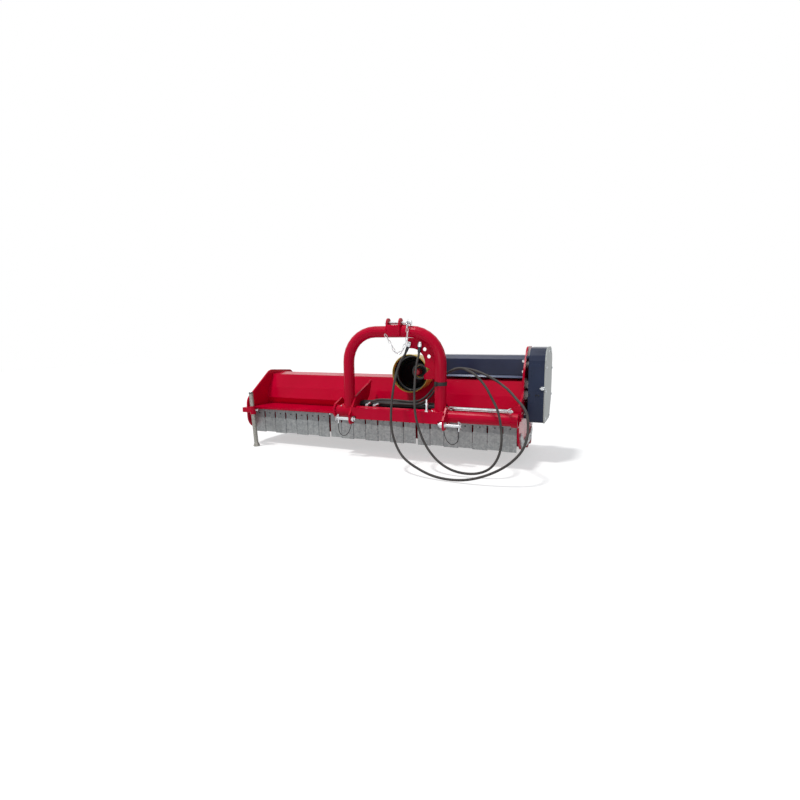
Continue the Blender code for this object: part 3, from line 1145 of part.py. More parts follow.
# Hoses: from the ram, behind the right leg, over and down to the floor, and up to the couplers
PLATE_FRONT = SLIDE_Y + 0.004
COUPLER_R = 0.0155
COUPLER_Y = PLATE_FRONT - COUPLER_R - FIT
COUPLER_A = Vector((LEG_RIGHT - 0.231, COUPLER_Y, ARCH_TOP - 0.128))
COUPLER_B = Vector((LEG_RIGHT - 0.142, COUPLER_Y, ARCH_TOP - 0.133))
COUPLER_A_AXIS = Vector((0.40, 0.0, 0.917)).normalized()
COUPLER_B_AXIS = Vector((0.115, 0.0, 0.993)).normalized()
PORT_Y = RAM_Y - RAM_BARREL_R - 0.012
HOSE_A_ROUTE = [
    (0.105, -0.078, 0.396), (0.181, -0.075, 0.397), (0.250, -0.073, 0.394), (0.321, -0.069, 0.391),
    (0.376, -0.060, 0.398), (0.415, -0.050, 0.420), (0.452, -0.040, 0.460), (0.502, -0.037, 0.520),
    (0.562, -0.040, 0.580), (0.616, -0.048, 0.612), (0.682, -0.066, 0.619), (0.782, -0.112, 0.605),
    (0.892, -0.168, 0.567), (0.984, -0.230, 0.519), (1.050, -0.285, 0.468), (1.107, -0.330, 0.414),
    (1.130, -0.368, 0.354), (1.133, -0.405, 0.276), (1.111, -0.440, 0.204), (1.047, -0.463, 0.132),
    (0.956, -0.474, 0.074), (0.850, -0.476, 0.032), (0.740, -0.472, 0.014), (0.622, -0.462, 0.020),
    (0.513, -0.445, 0.052), (0.415, -0.415, 0.098), (0.352, -0.385, 0.164), (0.308, -0.350, 0.250),
    (0.286, -0.310, 0.344), (0.277, -0.265, 0.456), (0.279, -0.215, 0.574), (0.293, -0.165, 0.665)]
HOSE_B_ROUTE = [
    (0.150, -0.090, 0.373), (0.223, -0.092, 0.375), (0.300, -0.089, 0.375), (0.361, -0.082, 0.376),
    (0.415, -0.068, 0.394), (0.460, -0.058, 0.434), (0.508, -0.056, 0.500), (0.570, -0.064, 0.582),
    (0.663, -0.096, 0.620), (0.730, -0.130, 0.608), (0.786, -0.158, 0.582), (0.847, -0.185, 0.525),
    (0.890, -0.210, 0.464), (0.935, -0.240, 0.392), (0.960, -0.265, 0.314), (0.974, -0.295, 0.222),
    (0.963, -0.320, 0.135), (0.922, -0.335, 0.067), (0.853, -0.342, 0.030), (0.768, -0.347, 0.022),
    (0.682, -0.347, 0.038), (0.598, -0.337, 0.082), (0.525, -0.317, 0.153), (0.468, -0.290, 0.243),
    (0.429, -0.260, 0.345), (0.409, -0.225, 0.451), (0.399, -0.185, 0.561), (0.398, -0.150, 0.656)]
HOSES = [
    {"name": "hose_a", "leave": Vector((0.83, 0.0, 0.56)).normalized(), "port": PORT_XS[0],
     "coupler": COUPLER_A, "axis": COUPLER_A_AXIS, "knots": HOSE_A_ROUTE},
    {"name": "hose_b", "leave": Vector((0.94, 0.0, 0.34)).normalized(), "port": PORT_XS[1],
     "coupler": COUPLER_B, "axis": COUPLER_B_AXIS, "knots": HOSE_B_ROUTE},
]


def build_hoses():
    for hose in HOSES:
        exit_point = Vector((hose["port"], PORT_Y, RAM_Z)) + hose["leave"] * (0.034 + FIT)
        straight = exit_point + hose["leave"] * 0.018
        lead = -hose["axis"]
        end = hose["coupler"] + lead * FIT
        line, length = smooth_line([straight, *hose["knots"], end + lead * 0.02], 0.066)
        line = [exit_point, *line, end]
        points = [Vector(p) - Vector(carriage["place"]) for p in line]
        tube = round_curve(hose["name"], points, HOSE_R, 1)
        tube.parent = carriage
        tube.data.materials.append(finish(hose["name"] + "_finish", BLACK, 0.6, 0.0))
        print(f"{hose['name']}: {length:.3f} m, {len(points)} points, lowest {min(p.z for p in line):.4f}")


def build_couplers():
    """Quick couplers, each with a crimped ferrule on its hose."""
    for name, coupler, axis in (("coupler_a", COUPLER_A, COUPLER_A_AXIS),
                                ("coupler_b", COUPLER_B, COUPLER_B_AXIS)):
        profile = [(0.0, 0), (0.0, 0.0095), (0.034, 0.0105), (0.036, COUPLER_R), (0.058, COUPLER_R),
                   (0.060, 0.011), (0.068, 0.011), (0.068, 0)]
        bm = turned(bmesh.new(), profile, coupler, axis, 12)
        add_solid(name, bm, ZINC, 0.3, 0.9, carriage, 40)


def build_coupler_plate():
    """A curved plate in the right bend, with holes where couplers are parked, and a flag on the leg."""
    centre = (LEG_RIGHT - ARCH_BEND, ARCH_TOP - ARCH_BEND)
    out, low = ARCH_BEND - ARCH_R - 0.0015, ARCH_BEND - ARCH_R - 0.069
    inner = LEG_RIGHT - ARCH_R - FIT
    start = COUPLER_A[0] + 0.004
    x, z = LEG_RIGHT, centre[1]
    flag = [(inner, z - 0.096), (x - 0.075, z - 0.104), (x - 0.113, z - 0.104), (x - 0.117, z - 0.079),
            (x - 0.097, z - 0.059), (x - 0.071, z - 0.037)]
    outline = [(start, z + out), *arc(centre, out, 90, 2, 12), (inner, z - 0.009), *flag,
               *arc(centre, low, -12, 90, 9), (start, z + low)]
    holes = []
    for angle, radius in ((44, 0.0125), (20, 0.0125)):
        turn = math.radians(angle)
        middle = (centre[0] + (out + low) / 2 * math.cos(turn), centre[1] + (out + low) / 2 * math.sin(turn))
        holes.append(ring_points(middle, radius, 10))
    bm = prism(bmesh.new(), outline, "Y", PLATE_FRONT, PLATE_FRONT + 0.006, holes)
    add_solid("coupler_plate", bm, RED, 0.35, 0.0, carriage)


# Parking stand
STAND_AXIS = Vector((-math.sin(math.radians(STAND_TILT)), 0.0, math.cos(math.radians(STAND_TILT))))


def build_stand():
    """A tube with a flared foot, in a socket on the left end plate, held by a clamp screw."""
    centre = Vector((STAND_X, STAND_Y, STAND_MIDDLE))
    lean = math.cos(math.radians(STAND_TILT))
    low = STAND_MIDDLE / lean
    high = (STAND_TOP - STAND_MIDDLE) / lean
    r = STAND_TUBE_R
    profile = [(-low + 0.016, 0), (-low + 0.016, r), (high, r), (high, r - 0.003), (high - 0.030, r - 0.003),
               (high - 0.030, 0)]
    bm = turned(bmesh.new(), profile, centre, STAND_AXIS, 16)
    leg = add_solid("stand_leg", bm, GALVANISED, 0.4, 0.7, stand, 40)
    foot_x = STAND_X + math.tan(math.radians(STAND_TILT)) * STAND_MIDDLE
    sole = [(0, 0), (0, 0.024), (0.004, 0.0245), (0.024, r + 0.001), (0.032, r - 0.004), (0.032, 0)]
    foot = turned(bmesh.new(), sole, (foot_x, STAND_Y, 0), (0, 0, 1), 16)
    combine(leg, foot, "UNION")
    half = (STAND_SOCKET_HIGH - STAND_SOCKET_LOW) / 2
    sleeve = cylinder(bmesh.new(), centre, STAND_AXIS, -half, half, r + 0.006, 16)
    socket = add_solid("stand_socket", sleeve, RED, 0.35, 0.0, machine, 40)
    arm = box(bmesh.new(), (-HALF - END_PLATE, STAND_Y - 0.008, STAND_MIDDLE - 0.018),
              (STAND_X - 0.012, -0.086 - FIT, STAND_MIDDLE + 0.018))
    combine(socket, arm, "UNION")
    bore = cylinder(bmesh.new(), centre, STAND_AXIS, -0.1, 0.1, r + 0.0006, 16)
    combine(socket, bore, "DIFFERENCE")
    across = Vector((math.cos(math.radians(STAND_TILT)), 0.0, math.sin(math.radians(STAND_TILT))))
    thread = cylinder(bmesh.new(), centre, across, 0.0, 0.06, 0.0046, 8)
    combine(socket, thread, "DIFFERENCE")
    screw = [(r + 0.0008, 0), (r + 0.0008, 0.004), (0.040, 0.004), (0.040, 0.007), (0.052, 0.007), (0.052, 0)]
    bm = turned(bmesh.new(), screw, centre, across, 8)
    piece = add_solid("stand_clamp_screw", bm, ZINC, 0.3, 0.9, clamp_screw)
    bar = cylinder(bmesh.new(), tuple(centre + across * 0.046), (0, 1, 0), -0.020, 0.020, 0.003, 8)
    combine(piece, bar, "UNION")


def build_ram_bolt():
    """The pivot bolt of the ram's eye."""
    shank = [(-0.052, 0), (-0.052, 0.0075), (0, 0.0075), (0, 0.0145), (0.006, 0.0145), (0.006, 0.012),
             (0.016, 0.012), (0.016, 0)]
    bm = turned(bmesh.new(), shank, (RAM_EYE_X, DECK_FRONT - 0.012 - 2 * FIT, RAM_BOLT_Z), (0, -1, 0), 10)
    add_solid("ram_bolt", bm, ZINC, 0.3, 0.9, machine)


build_hood()
build_gearbox_seat()
build_end_plates()
build_skids()
build_rotor()
build_hammers()
build_bearings()
build_pulleys()
build_belt()
build_belt_case()
build_gearbox()
build_shield()
build_input_shaft()
build_cross_shaft()
build_shaft_cover()
build_flap_rod()
build_flaps()
build_roller()
build_rear_hood()
build_counter_knife()
build_slide()
build_carriage_frame()
build_arch()
build_top_link()
build_chain()
build_hitch_pins()
build_bails()
build_lanyards()
build_ram()
build_hoses()
build_couplers()
build_coupler_plate()
build_stand()
build_ram_bolt()

# Stand the machine on its origin, under the middle of its box
BOX_LEFT = -HALF - END_PLATE - 0.040
BOX_RIGHT = CASE_OUT_X
BOX_FRONT = HITCH_PIN_Y - 0.026
BOX_BACK = ROLLER_Y + ROLLER_R
machine.location = (-(BOX_LEFT + BOX_RIGHT) / 2, -(BOX_FRONT + BOX_BACK) / 2, 0.0)
bpy.context.view_layer.update()
print("origin shift", tuple(round(v, 5) for v in machine.location))
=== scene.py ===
# %% [markdown]
# # An offset tractor mulcher
# A mulcher hangs on a tractor's three point linkage and shreds grass and brushwood under a steel hood.
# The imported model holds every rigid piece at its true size. This lesson loads it, gives each piece the
# finish that its factory gives it, and adds what is too small, too thin or too soft for the solids:
# bolts, rivets and grease nipples, thin plates, weld beads, the liner of the shaft guard, a strap, a
# latch, a clip, a plug, and the hoses and lanyards.

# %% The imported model
import json
import math

import bmesh
import bpy
from mathutils import Matrix, Vector

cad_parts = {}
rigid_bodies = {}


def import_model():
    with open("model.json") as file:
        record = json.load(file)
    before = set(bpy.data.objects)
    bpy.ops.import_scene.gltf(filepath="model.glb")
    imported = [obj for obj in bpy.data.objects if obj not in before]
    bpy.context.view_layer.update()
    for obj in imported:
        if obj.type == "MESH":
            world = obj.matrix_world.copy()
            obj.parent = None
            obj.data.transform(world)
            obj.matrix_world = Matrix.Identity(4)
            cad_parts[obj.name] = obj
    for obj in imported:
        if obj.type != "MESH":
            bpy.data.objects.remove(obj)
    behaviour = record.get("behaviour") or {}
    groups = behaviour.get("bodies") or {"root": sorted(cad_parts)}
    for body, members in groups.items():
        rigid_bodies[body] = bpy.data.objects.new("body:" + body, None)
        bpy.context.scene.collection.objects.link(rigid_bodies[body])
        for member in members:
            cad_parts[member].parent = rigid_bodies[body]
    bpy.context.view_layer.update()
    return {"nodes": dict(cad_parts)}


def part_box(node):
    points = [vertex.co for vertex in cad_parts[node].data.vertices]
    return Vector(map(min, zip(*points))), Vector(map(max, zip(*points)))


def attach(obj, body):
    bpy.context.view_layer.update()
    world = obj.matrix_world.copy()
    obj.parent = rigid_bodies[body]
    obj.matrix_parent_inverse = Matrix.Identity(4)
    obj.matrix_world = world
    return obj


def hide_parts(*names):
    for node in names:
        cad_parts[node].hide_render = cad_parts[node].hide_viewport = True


for leftover in list(bpy.data.objects):
    bpy.data.objects.remove(leftover)

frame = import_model()
nodes = frame["nodes"]

# %% [markdown]
# The drawings of the machine count X from the middle of the hood, Y from the row of flaps and Z from
# the ground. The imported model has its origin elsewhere, so one function turns a place on the drawing
# into a place in the scene. It takes the hood as its datum, because every other piece is set out from it.

# %% Places on the drawing
HOOD_FRONT = -0.056
hood_low, hood_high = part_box("hood_shell")
DATUM = Vector(((hood_low.x + hood_high.x) / 2, hood_low.y - HOOD_FRONT, 0.0))


def place(x, y, z):
    """A point of the machine's drawing, in the scene."""
    return Vector((x, y, z)) + DATUM


print("datum", tuple(round(v, 4) for v in DATUM))

# %% [markdown]
# The photograph was taken from the front, a little to the right and at the height of the arch, with a
# wide lens. A camera can be placed by rotations, but a position and three directions are easier to check
# against a picture: where it looks, what is right and what is up, with a roll of less than half a degree.

# %% Camera
CAMERA_PLACE = place(1.5172, -3.0662, 0.8319)
CAMERA_TURN = math.radians(23.0)
CAMERA_DIP = math.radians(7.585)
CAMERA_ROLL = math.radians(-0.416)
FOCAL_PIXELS = 489.83
PICTURE_PIXELS = 800
SENSOR_MM = 36.0
NEAREST_SEEN = 0.05

ahead = Vector((-math.sin(CAMERA_TURN) * math.cos(CAMERA_DIP),
                math.cos(CAMERA_TURN) * math.cos(CAMERA_DIP), -math.sin(CAMERA_DIP)))
level_right = Vector((math.cos(CAMERA_TURN), math.sin(CAMERA_TURN), 0.0))
level_up = level_right.cross(ahead)
right = level_right * math.cos(CAMERA_ROLL) + level_up * math.sin(CAMERA_ROLL)
up = level_up * math.cos(CAMERA_ROLL) - level_right * math.sin(CAMERA_ROLL)

lens = bpy.data.cameras.new("camera")
lens.sensor_width = SENSOR_MM
lens.lens = FOCAL_PIXELS / PICTURE_PIXELS * SENSOR_MM
lens.clip_start = NEAREST_SEEN
camera = bpy.data.objects.new("camera", lens)
bpy.context.collection.objects.link(camera)
turned = Matrix((right, up, -ahead)).transposed().to_4x4()
camera.matrix_world = Matrix.Translation(CAMERA_PLACE) @ turned
bpy.context.scene.camera = camera
print(f"lens {lens.lens:.2f} mm, {CAMERA_PLACE.length:.2f} m from the origin")

# %% [markdown]
# Two hydraulic hoses run from the ram, behind the right leg of the arch, out over the hood, down to the
# floor in a loose bight and up to the quick couplers. A hose could be a ring that is extruded step by
# step, but a bevelled curve is round at every bend by itself, and its line can be measured. Once it lies
# right it is turned to a mesh and its ends are sewn shut. The routes are the ones of the solids: each is
# a smooth line through points that were read off the photograph.

# %% The routes of the hoses
HOSE_RADIUS = 0.0075
ARCH_X = 0.213
ARCH_TOP = 0.852
LEG_RIGHT = ARCH_X + 0.330
LEG_LEFT = ARCH_X - 0.330
LEG_RADIUS = 0.038
SLIDE_Y = -0.108
SLIDE_Z = 0.312
FIT = 0.0003
RAM_PORTS = (0.002, 0.060)
PORT_Y = -0.076
RAM_Z = 0.354
COUPLER_Y = SLIDE_Y + 0.004 - 0.0155 - FIT
HOSE_ROUTES = {
    "hose_a": {
        "leave": Vector((0.83, 0.0, 0.56)).normalized(),
        "port": RAM_PORTS[0],
        "coupler": Vector((LEG_RIGHT - 0.231, COUPLER_Y, ARCH_TOP - 0.128)),
        "coupler_axis": Vector((0.40, 0.0, 0.917)).normalized(),
        "knots": [
            (0.105, -0.078, 0.396), (0.181, -0.075, 0.397), (0.250, -0.073, 0.394), (0.321, -0.069, 0.391),
            (0.376, -0.060, 0.398), (0.415, -0.050, 0.420), (0.452, -0.040, 0.460), (0.502, -0.037, 0.520),
            (0.562, -0.040, 0.580), (0.616, -0.048, 0.612), (0.682, -0.066, 0.619), (0.782, -0.112, 0.605),
            (0.892, -0.168, 0.567), (0.984, -0.230, 0.519), (1.050, -0.285, 0.468), (1.107, -0.330, 0.414),
            (1.130, -0.368, 0.354), (1.133, -0.405, 0.276), (1.111, -0.440, 0.204), (1.047, -0.463, 0.132),
            (0.956, -0.474, 0.074), (0.850, -0.476, 0.032), (0.740, -0.472, 0.014), (0.622, -0.462, 0.020),
            (0.513, -0.445, 0.052), (0.415, -0.415, 0.098), (0.352, -0.385, 0.164), (0.308, -0.350, 0.250),
            (0.286, -0.310, 0.344), (0.277, -0.265, 0.456), (0.279, -0.215, 0.574), (0.293, -0.165, 0.665),
        ]},
    "hose_b": {
        "leave": Vector((0.94, 0.0, 0.34)).normalized(),
        "port": RAM_PORTS[1],
        "coupler": Vector((LEG_RIGHT - 0.142, COUPLER_Y, ARCH_TOP - 0.133)),
        "coupler_axis": Vector((0.115, 0.0, 0.993)).normalized(),
        "knots": [
            (0.150, -0.090, 0.373), (0.223, -0.092, 0.375), (0.300, -0.089, 0.375), (0.361, -0.082, 0.376),
            (0.415, -0.068, 0.394), (0.460, -0.058, 0.434), (0.508, -0.056, 0.500), (0.570, -0.064, 0.582),
            (0.663, -0.096, 0.620), (0.730, -0.130, 0.608), (0.786, -0.158, 0.582), (0.847, -0.185, 0.525),
            (0.890, -0.210, 0.464), (0.935, -0.240, 0.392), (0.960, -0.265, 0.314), (0.974, -0.295, 0.222),
            (0.963, -0.320, 0.135), (0.922, -0.335, 0.067), (0.853, -0.342, 0.030), (0.768, -0.347, 0.022),
            (0.682, -0.347, 0.038), (0.598, -0.337, 0.082), (0.525, -0.317, 0.153), (0.468, -0.290, 0.243),
            (0.429, -0.260, 0.345), (0.409, -0.225, 0.451), (0.399, -0.185, 0.561), (0.398, -0.150, 0.656),
        ]},
}
STEPS_PER_KNOT = 12


def smooth_line(points, spacing):
    """Evenly spaced points along a smooth curve through the given points."""
    knots = [Vector(p) for p in points]
    knots = [knots[0] * 2 - knots[1], *knots, knots[-1] * 2 - knots[-2]]
    dense = []
    for a, b, c, d in zip(knots, knots[1:], knots[2:], knots[3:]):
        for k in range(STEPS_PER_KNOT):
            t = k / STEPS_PER_KNOT
            dense.append(0.5 * (2 * b + (c - a) * t + (2 * a - 5 * b + 4 * c - d) * t ** 2
                                + (3 * b - a - 3 * c + d) * t ** 3))
    dense.append(knots[-2])
    length = sum((q - p).length for p, q in zip(dense, dense[1:]))
    count = max(2, round(length / spacing))
    even, walked, target = [dense[0]], 0.0, 1
    for p, q in zip(dense, dense[1:]):
        run = (q - p).length
        while target < count and walked + run >= target * length / count:
            even.append(p.lerp(q, (target * length / count - walked) / run))
            target += 1
        walked += run
    return [*even, dense[-1]]


def route_length(points):
    """The length of a line along its points."""
    return sum((Vector(b) - Vector(a)).length for a, b in zip(points, points[1:]))


# %% [markdown]
# Everything round and bent here starts as the same kind of curve: the hoses, the lanyards, the wires and
# the weld beads. The curve's own bevel is one metre, and each of its points scales that down to the real
# radius, so a bead can be thick and thin in turn.

# %% Helpers for cords and wires
WELD_DISTANCE = 0.00001


def round_cord(name, points, radius, sides=3):
    """A cord as a bevelled curve of one open spline, with closed ends."""
    curve = bpy.data.curves.new(name, "CURVE")
    curve.dimensions = "3D"
    curve.bevel_depth = 1.0
    curve.bevel_resolution = sides
    curve.use_fill_caps = True
    spline = curve.splines.new("POLY")
    spline.points.add(len(points) - 1)
    for target, point in zip(spline.points, points):
        target.co = (*point, 1.0)
        target.radius = radius
    spline.use_smooth = True
    cord = bpy.data.objects.new(name, curve)
    bpy.context.collection.objects.link(cord)
    return cord


def only(piece):
    """Deselects everything but one piece, and makes that piece active."""
    bpy.ops.object.select_all(action="DESELECT")
    piece.select_set(True)
    bpy.context.view_layer.objects.active = piece


def wire_to_mesh(curve):
    """Turns a bevelled curve into a closed mesh, with its caps sewn on and its faces outwards."""
    only(curve)
    bpy.ops.object.convert(target="MESH")
    bpy.ops.object.mode_set(mode="EDIT")
    bpy.ops.mesh.select_all(action="SELECT")
    bpy.ops.mesh.remove_doubles(threshold=WELD_DISTANCE)
    bpy.ops.mesh.normals_make_consistent(inside=False)
    bpy.ops.object.mode_set(mode="OBJECT")
    return bpy.context.object


# %% The hoses
FERRULE_LENGTH = 0.034
HOSE_STEP = 0.018
LAST_KNOT = 0.02
cords = {}
for name, route in HOSE_ROUTES.items():
    start = Vector((route["port"], PORT_Y, RAM_Z)) + route["leave"] * (FERRULE_LENGTH + FIT)
    lead = -route["coupler_axis"]
    end = route["coupler"] + lead * FIT
    knots = [start + route["leave"] * HOSE_STEP, *route["knots"], end + lead * LAST_KNOT]
    line = [place(*p) for p in [start, *smooth_line(knots, HOSE_STEP), end]]
    hose = wire_to_mesh(round_cord(name + "_rubber", line, HOSE_RADIUS))
    cords[name] = hose
    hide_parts(name)
    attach(hose, "carriage")
    print(f"{name}: {route_length(line):.3f} m in {len(line)} points")

# %% [markdown]
# Each lower hitch pin is held by a linch pin, and a short coated cable ties the linch pin to its ear so
# that it isn't lost. It hangs in a narrow loop. It is made and closed as the hoses are, because its
# length is measured along its line too.

# %% The lanyards
LANYARD_RADIUS = 0.0025
LANYARD_STEP = 0.006
PIN_Y = -0.176
PIN_Z = 0.268
PIN_RADIUS = 0.011
EAR_THICK = 0.012
SHOULDER = 0.0055
LINCH_OUT = 0.100 - 0.014
EAR_LOW = PIN_Z - 0.034
EAR_LEFT = LEG_LEFT + LEG_RADIUS + FIT
EAR_RIGHT = LEG_RIGHT + LEG_RADIUS + FIT
LINCH_HEAD = PIN_Z + PIN_RADIUS + 0.012
LINCH_LENGTH = 0.058
# How far each knot of the loop lies outside the ear, behind the pin and above the ear's lower edge.
LOOP = ((0.002, 0.0, -0.036), (0.020, -0.002, -0.068), (0.048, -0.004, -0.085),
        (0.076, -0.003, -0.074), (0.090, -0.001, -0.044))

for name, side, outer in (("lanyard_left", -1, EAR_LEFT), ("lanyard_right", 1, EAR_RIGHT + EAR_THICK)):
    tip = outer + side * (SHOULDER + LINCH_OUT)
    start = Vector((outer - side * EAR_THICK / 2, PIN_Y + 0.002, EAR_LOW - FIT))
    end = Vector((tip, PIN_Y, LINCH_HEAD - LINCH_LENGTH - FIT))
    down = Vector((0, 0, -LANYARD_STEP))
    loop = [(outer + side * x, PIN_Y + y, EAR_LOW + z) for x, y, z in LOOP]
    knots = [start + down, *loop, end + down]
    line = [place(*p) for p in [start, *smooth_line(knots, LANYARD_STEP), end]]
    cable = wire_to_mesh(round_cord(name + "_cable", line, LANYARD_RADIUS))
    cords[name] = cable
    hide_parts(name)
    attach(cable, "carriage")
    print(f"{name}: {route_length(line):.3f} m")

# %% [markdown]
# ## Finishes
# Colours are written as they look on a screen, in hex, and Blender's shaders want them linear. One
# function turns them. A second one adds any node with its settings and links, so that a finish reads
# from top to bottom like a list of what was done to the surface. Every finish begins and ends alike, so
# two more functions take up that much. A noise of scale S repeats about every 1/S metres, and the
# comments give that size in millimetres. A pixel of the photograph is 6 to 7 mm of the machine.

# %% Colour and node helpers
def linear(code):
    """An sRGB hex colour as the linear values that a shader wants."""
    levels = [int(code[i:i + 2], 16) / 255 for i in (1, 3, 5)]
    return (*[v / 12.92 if v <= 0.04045 else ((v + 0.055) / 1.055) ** 2.4 for v in levels], 1.0)


def link(source, socket):
    """Links an output, or a node's first output in use, to a socket."""
    if isinstance(source, bpy.types.Node):
        source = next(output for output in source.outputs if output.enabled)
    socket.id_data.links.new(source, socket)


def add_node(tree, kind, inputs=None, settings=None):
    """Adds a node of a kind, such as TexNoise. An input is a plain value, or what it is linked from."""
    node = tree.nodes.new("ShaderNode" + kind)
    for name, value in (settings or {}).items():
        if name == "stops":
            points = node.color_ramp.elements
            for i, (position, colour) in enumerate(value):
                point = points[i] if i < len(points) else points.new(position)
                point.position = position
                point.color = linear(colour)
        else:
            setattr(node, name, value)
    for name, value in (inputs or {}).items():
        if isinstance(value, (bpy.types.Node, bpy.types.NodeSocket)):
            link(value, node.inputs[name])
        else:
            node.inputs[name].default_value = value
    return node


def new_finish(name, **sockets):
    """A material with its shader's plain values set, and its tree, shader and object coordinates."""
    material = bpy.data.materials.new(name)
    material.use_nodes = True
    tree = material.node_tree
    shader = tree.nodes["Principled BSDF"]
    for socket, value in sockets.items():
        shader.inputs[socket.replace("_", " ")].default_value = value
    coords = tree.nodes.new("ShaderNodeTexCoord").outputs["Object"]
    print("finish", name)
    return material, tree, shader, coords


def end_finish(shader, colour, gloss, relief=None, span=(0.0, 1.0)):
    """Links what a finish has made to its shader.

    gloss is a pattern with the roughness at the low and the high end of its span. relief is a pattern
    with its strength and its depth in metres.
    """
    tree = shader.id_data
    pattern, low, high = gloss
    rough = add_node(tree, "MapRange",
                     {"Value": pattern, "From Min": span[0], "From Max": span[1],
                      "To Min": low, "To Max": high})
    link(colour, shader.inputs["Base Color"])
    link(rough, shader.inputs["Roughness"])
    if relief:
        height, strength, depth = relief
        raised = add_node(tree, "Bump", {"Height": height, "Strength": strength, "Distance": depth})
        link(raised, shader.inputs["Normal"])


def two_tones(tree, coords, scale, detail, *stops):
    """A cloudy pattern, and the colour that it gives between two close tones."""
    cloud = add_node(tree, "TexNoise", {"Vector": coords, "Scale": scale, "Detail": detail})
    tint = add_node(tree, "ValToRGB", {"Fac": cloud}, {"stops": stops})
    return cloud, tint


# %% [markdown]
# Most of the machine is sheet steel under a thick gloss enamel. Enamel is sprayed, so its surface has a
# faint orange peel, and dust dulls its gloss in patches. Flat red would look like plastic, so colour,
# roughness and surface each get a pattern of their own size. The shader's specular level is low, because
# a white studio stands all round the machine and a full reflection of it would wash the red out.

# %% Red enamel
def sprayed_enamel(name, deep, fresh, dust, gloss, peel):
    """Sprayed enamel on steel: two close reds, specks of dust, hazy patches and orange peel."""
    material, tree, shader, coords = new_finish(name, Specular_IOR_Level=0.09)
    # The red drifts over 380 mm, the dust lies in specks of 11 mm and the haze in patches of 140 mm.
    _, tint = two_tones(tree, coords, 2.6, 4.0, (0.30, deep), (0.72, fresh))
    specks = add_node(tree, "TexNoise", {"Vector": coords, "Scale": 90.0, "Detail": 6.0, "Roughness": 0.7})
    dusty = add_node(tree, "MapRange",
                     {"Value": specks, "From Min": 0.58, "From Max": 0.85, "To Max": 0.03})
    colour = add_node(tree, "Mix", {0: dusty, 6: tint, 7: linear(dust)}, {"data_type": "RGBA"})
    haze = add_node(tree, "TexNoise", {"Vector": coords, "Scale": 7.0, "Detail": 5.0})
    # Real orange peel is 1 to 2 mm wide. It is drawn two to three times as coarse, or no view shows it.
    orange = add_node(tree, "TexNoise", {"Vector": coords, "Scale": 1 / peel, "Detail": 2.0})
    end_finish(shader, colour, (haze, gloss, gloss + 0.14), (orange, 0.05, 0.002), span=(0.3, 0.7))
    return material


# Enamel from the booth: a deep clear red with small soft highlights.
red_enamel = sprayed_enamel("red_enamel", "#BA0129", "#D00335", "#C8687A", 0.14, 0.004)
# The roller's enamel is scuffed by the ground: darker, browner and without highlights.
roller_enamel = sprayed_enamel("scuffed_red_enamel", "#930C1C", "#B4142A", "#8E7566", 0.40, 0.003)

# %% [markdown]
# The drive cover and the belt case are powder coated in dark slate. Powder melts into a coat that is
# thicker than enamel and pebbled, so the gloss breaks up into satin. The case's lid is pressed from light
# grey sheet with the same kind of coat, and the castings and the ram have a thick black one.

# %% Powder coats
def powder_coat(name, base, worn, gloss):
    """Powder coat: a pebbled, slightly uneven coat of one colour."""
    material, tree, shader, coords = new_finish(name, Specular_IOR_Level=0.26)
    # Colour and gloss drift together over 250 mm.
    cloud, tint = two_tones(tree, coords, 4.0, 6.0, (0.32, base), (0.78, worn))
    # Real pebbles are under a millimetre. They are drawn 2 mm wide, so that a close view shows them.
    pebbles = add_node(tree, "TexNoise", {"Vector": coords, "Scale": 480.0, "Detail": 1.0})
    end_finish(shader, tint, (cloud, gloss, gloss + 0.18), (pebbles, 0.12, 0.001))
    return material


# Cover: a dark slate blue that turns grey where the sky lies on it.
slate_powder = powder_coat("slate_powder_coat", "#252B41", "#303955", 0.20)
# Case: the same slate, made darker and bluer as painted shade for its upright front.
case_shaded_powder = powder_coat("case_shaded_powder_coat", "#162039", "#22304E", 0.18)
# The drip lip of the cover: slate made pale, a painted highlight for the light that falls on it.
lip_lit_powder = powder_coat("lip_painted_light_powder_coat", "#4A546D", "#6C7690", 0.24)
# Lid: pale grey satin.
lid_powder = powder_coat("grey_powder_coat", "#A9ADA9", "#BCC0BC", 0.34)
# Castings: nearly black, and rough enough to look cast.
case_iron = powder_coat("black_casting_paint", "#15161A", "#23252A", 0.42)
# Ram: black with a soft streak of light along its barrel.
ram_paint = powder_coat("black_ram_paint", "#101114", "#1B1D21", 0.28)

# %% [markdown]
# Hot dip galvanising leaves zinc crystals on the steel, the spangle: patches of about a centimetre, each
# with its own shade of grey and its own polish. Voronoi cells are exactly such patches, and a noise on
# their coordinates keeps their borders from being straight. Rain and grass juice leave faint streaks.
# Weathered zinc is part oxide, so its finish is only partly metallic.

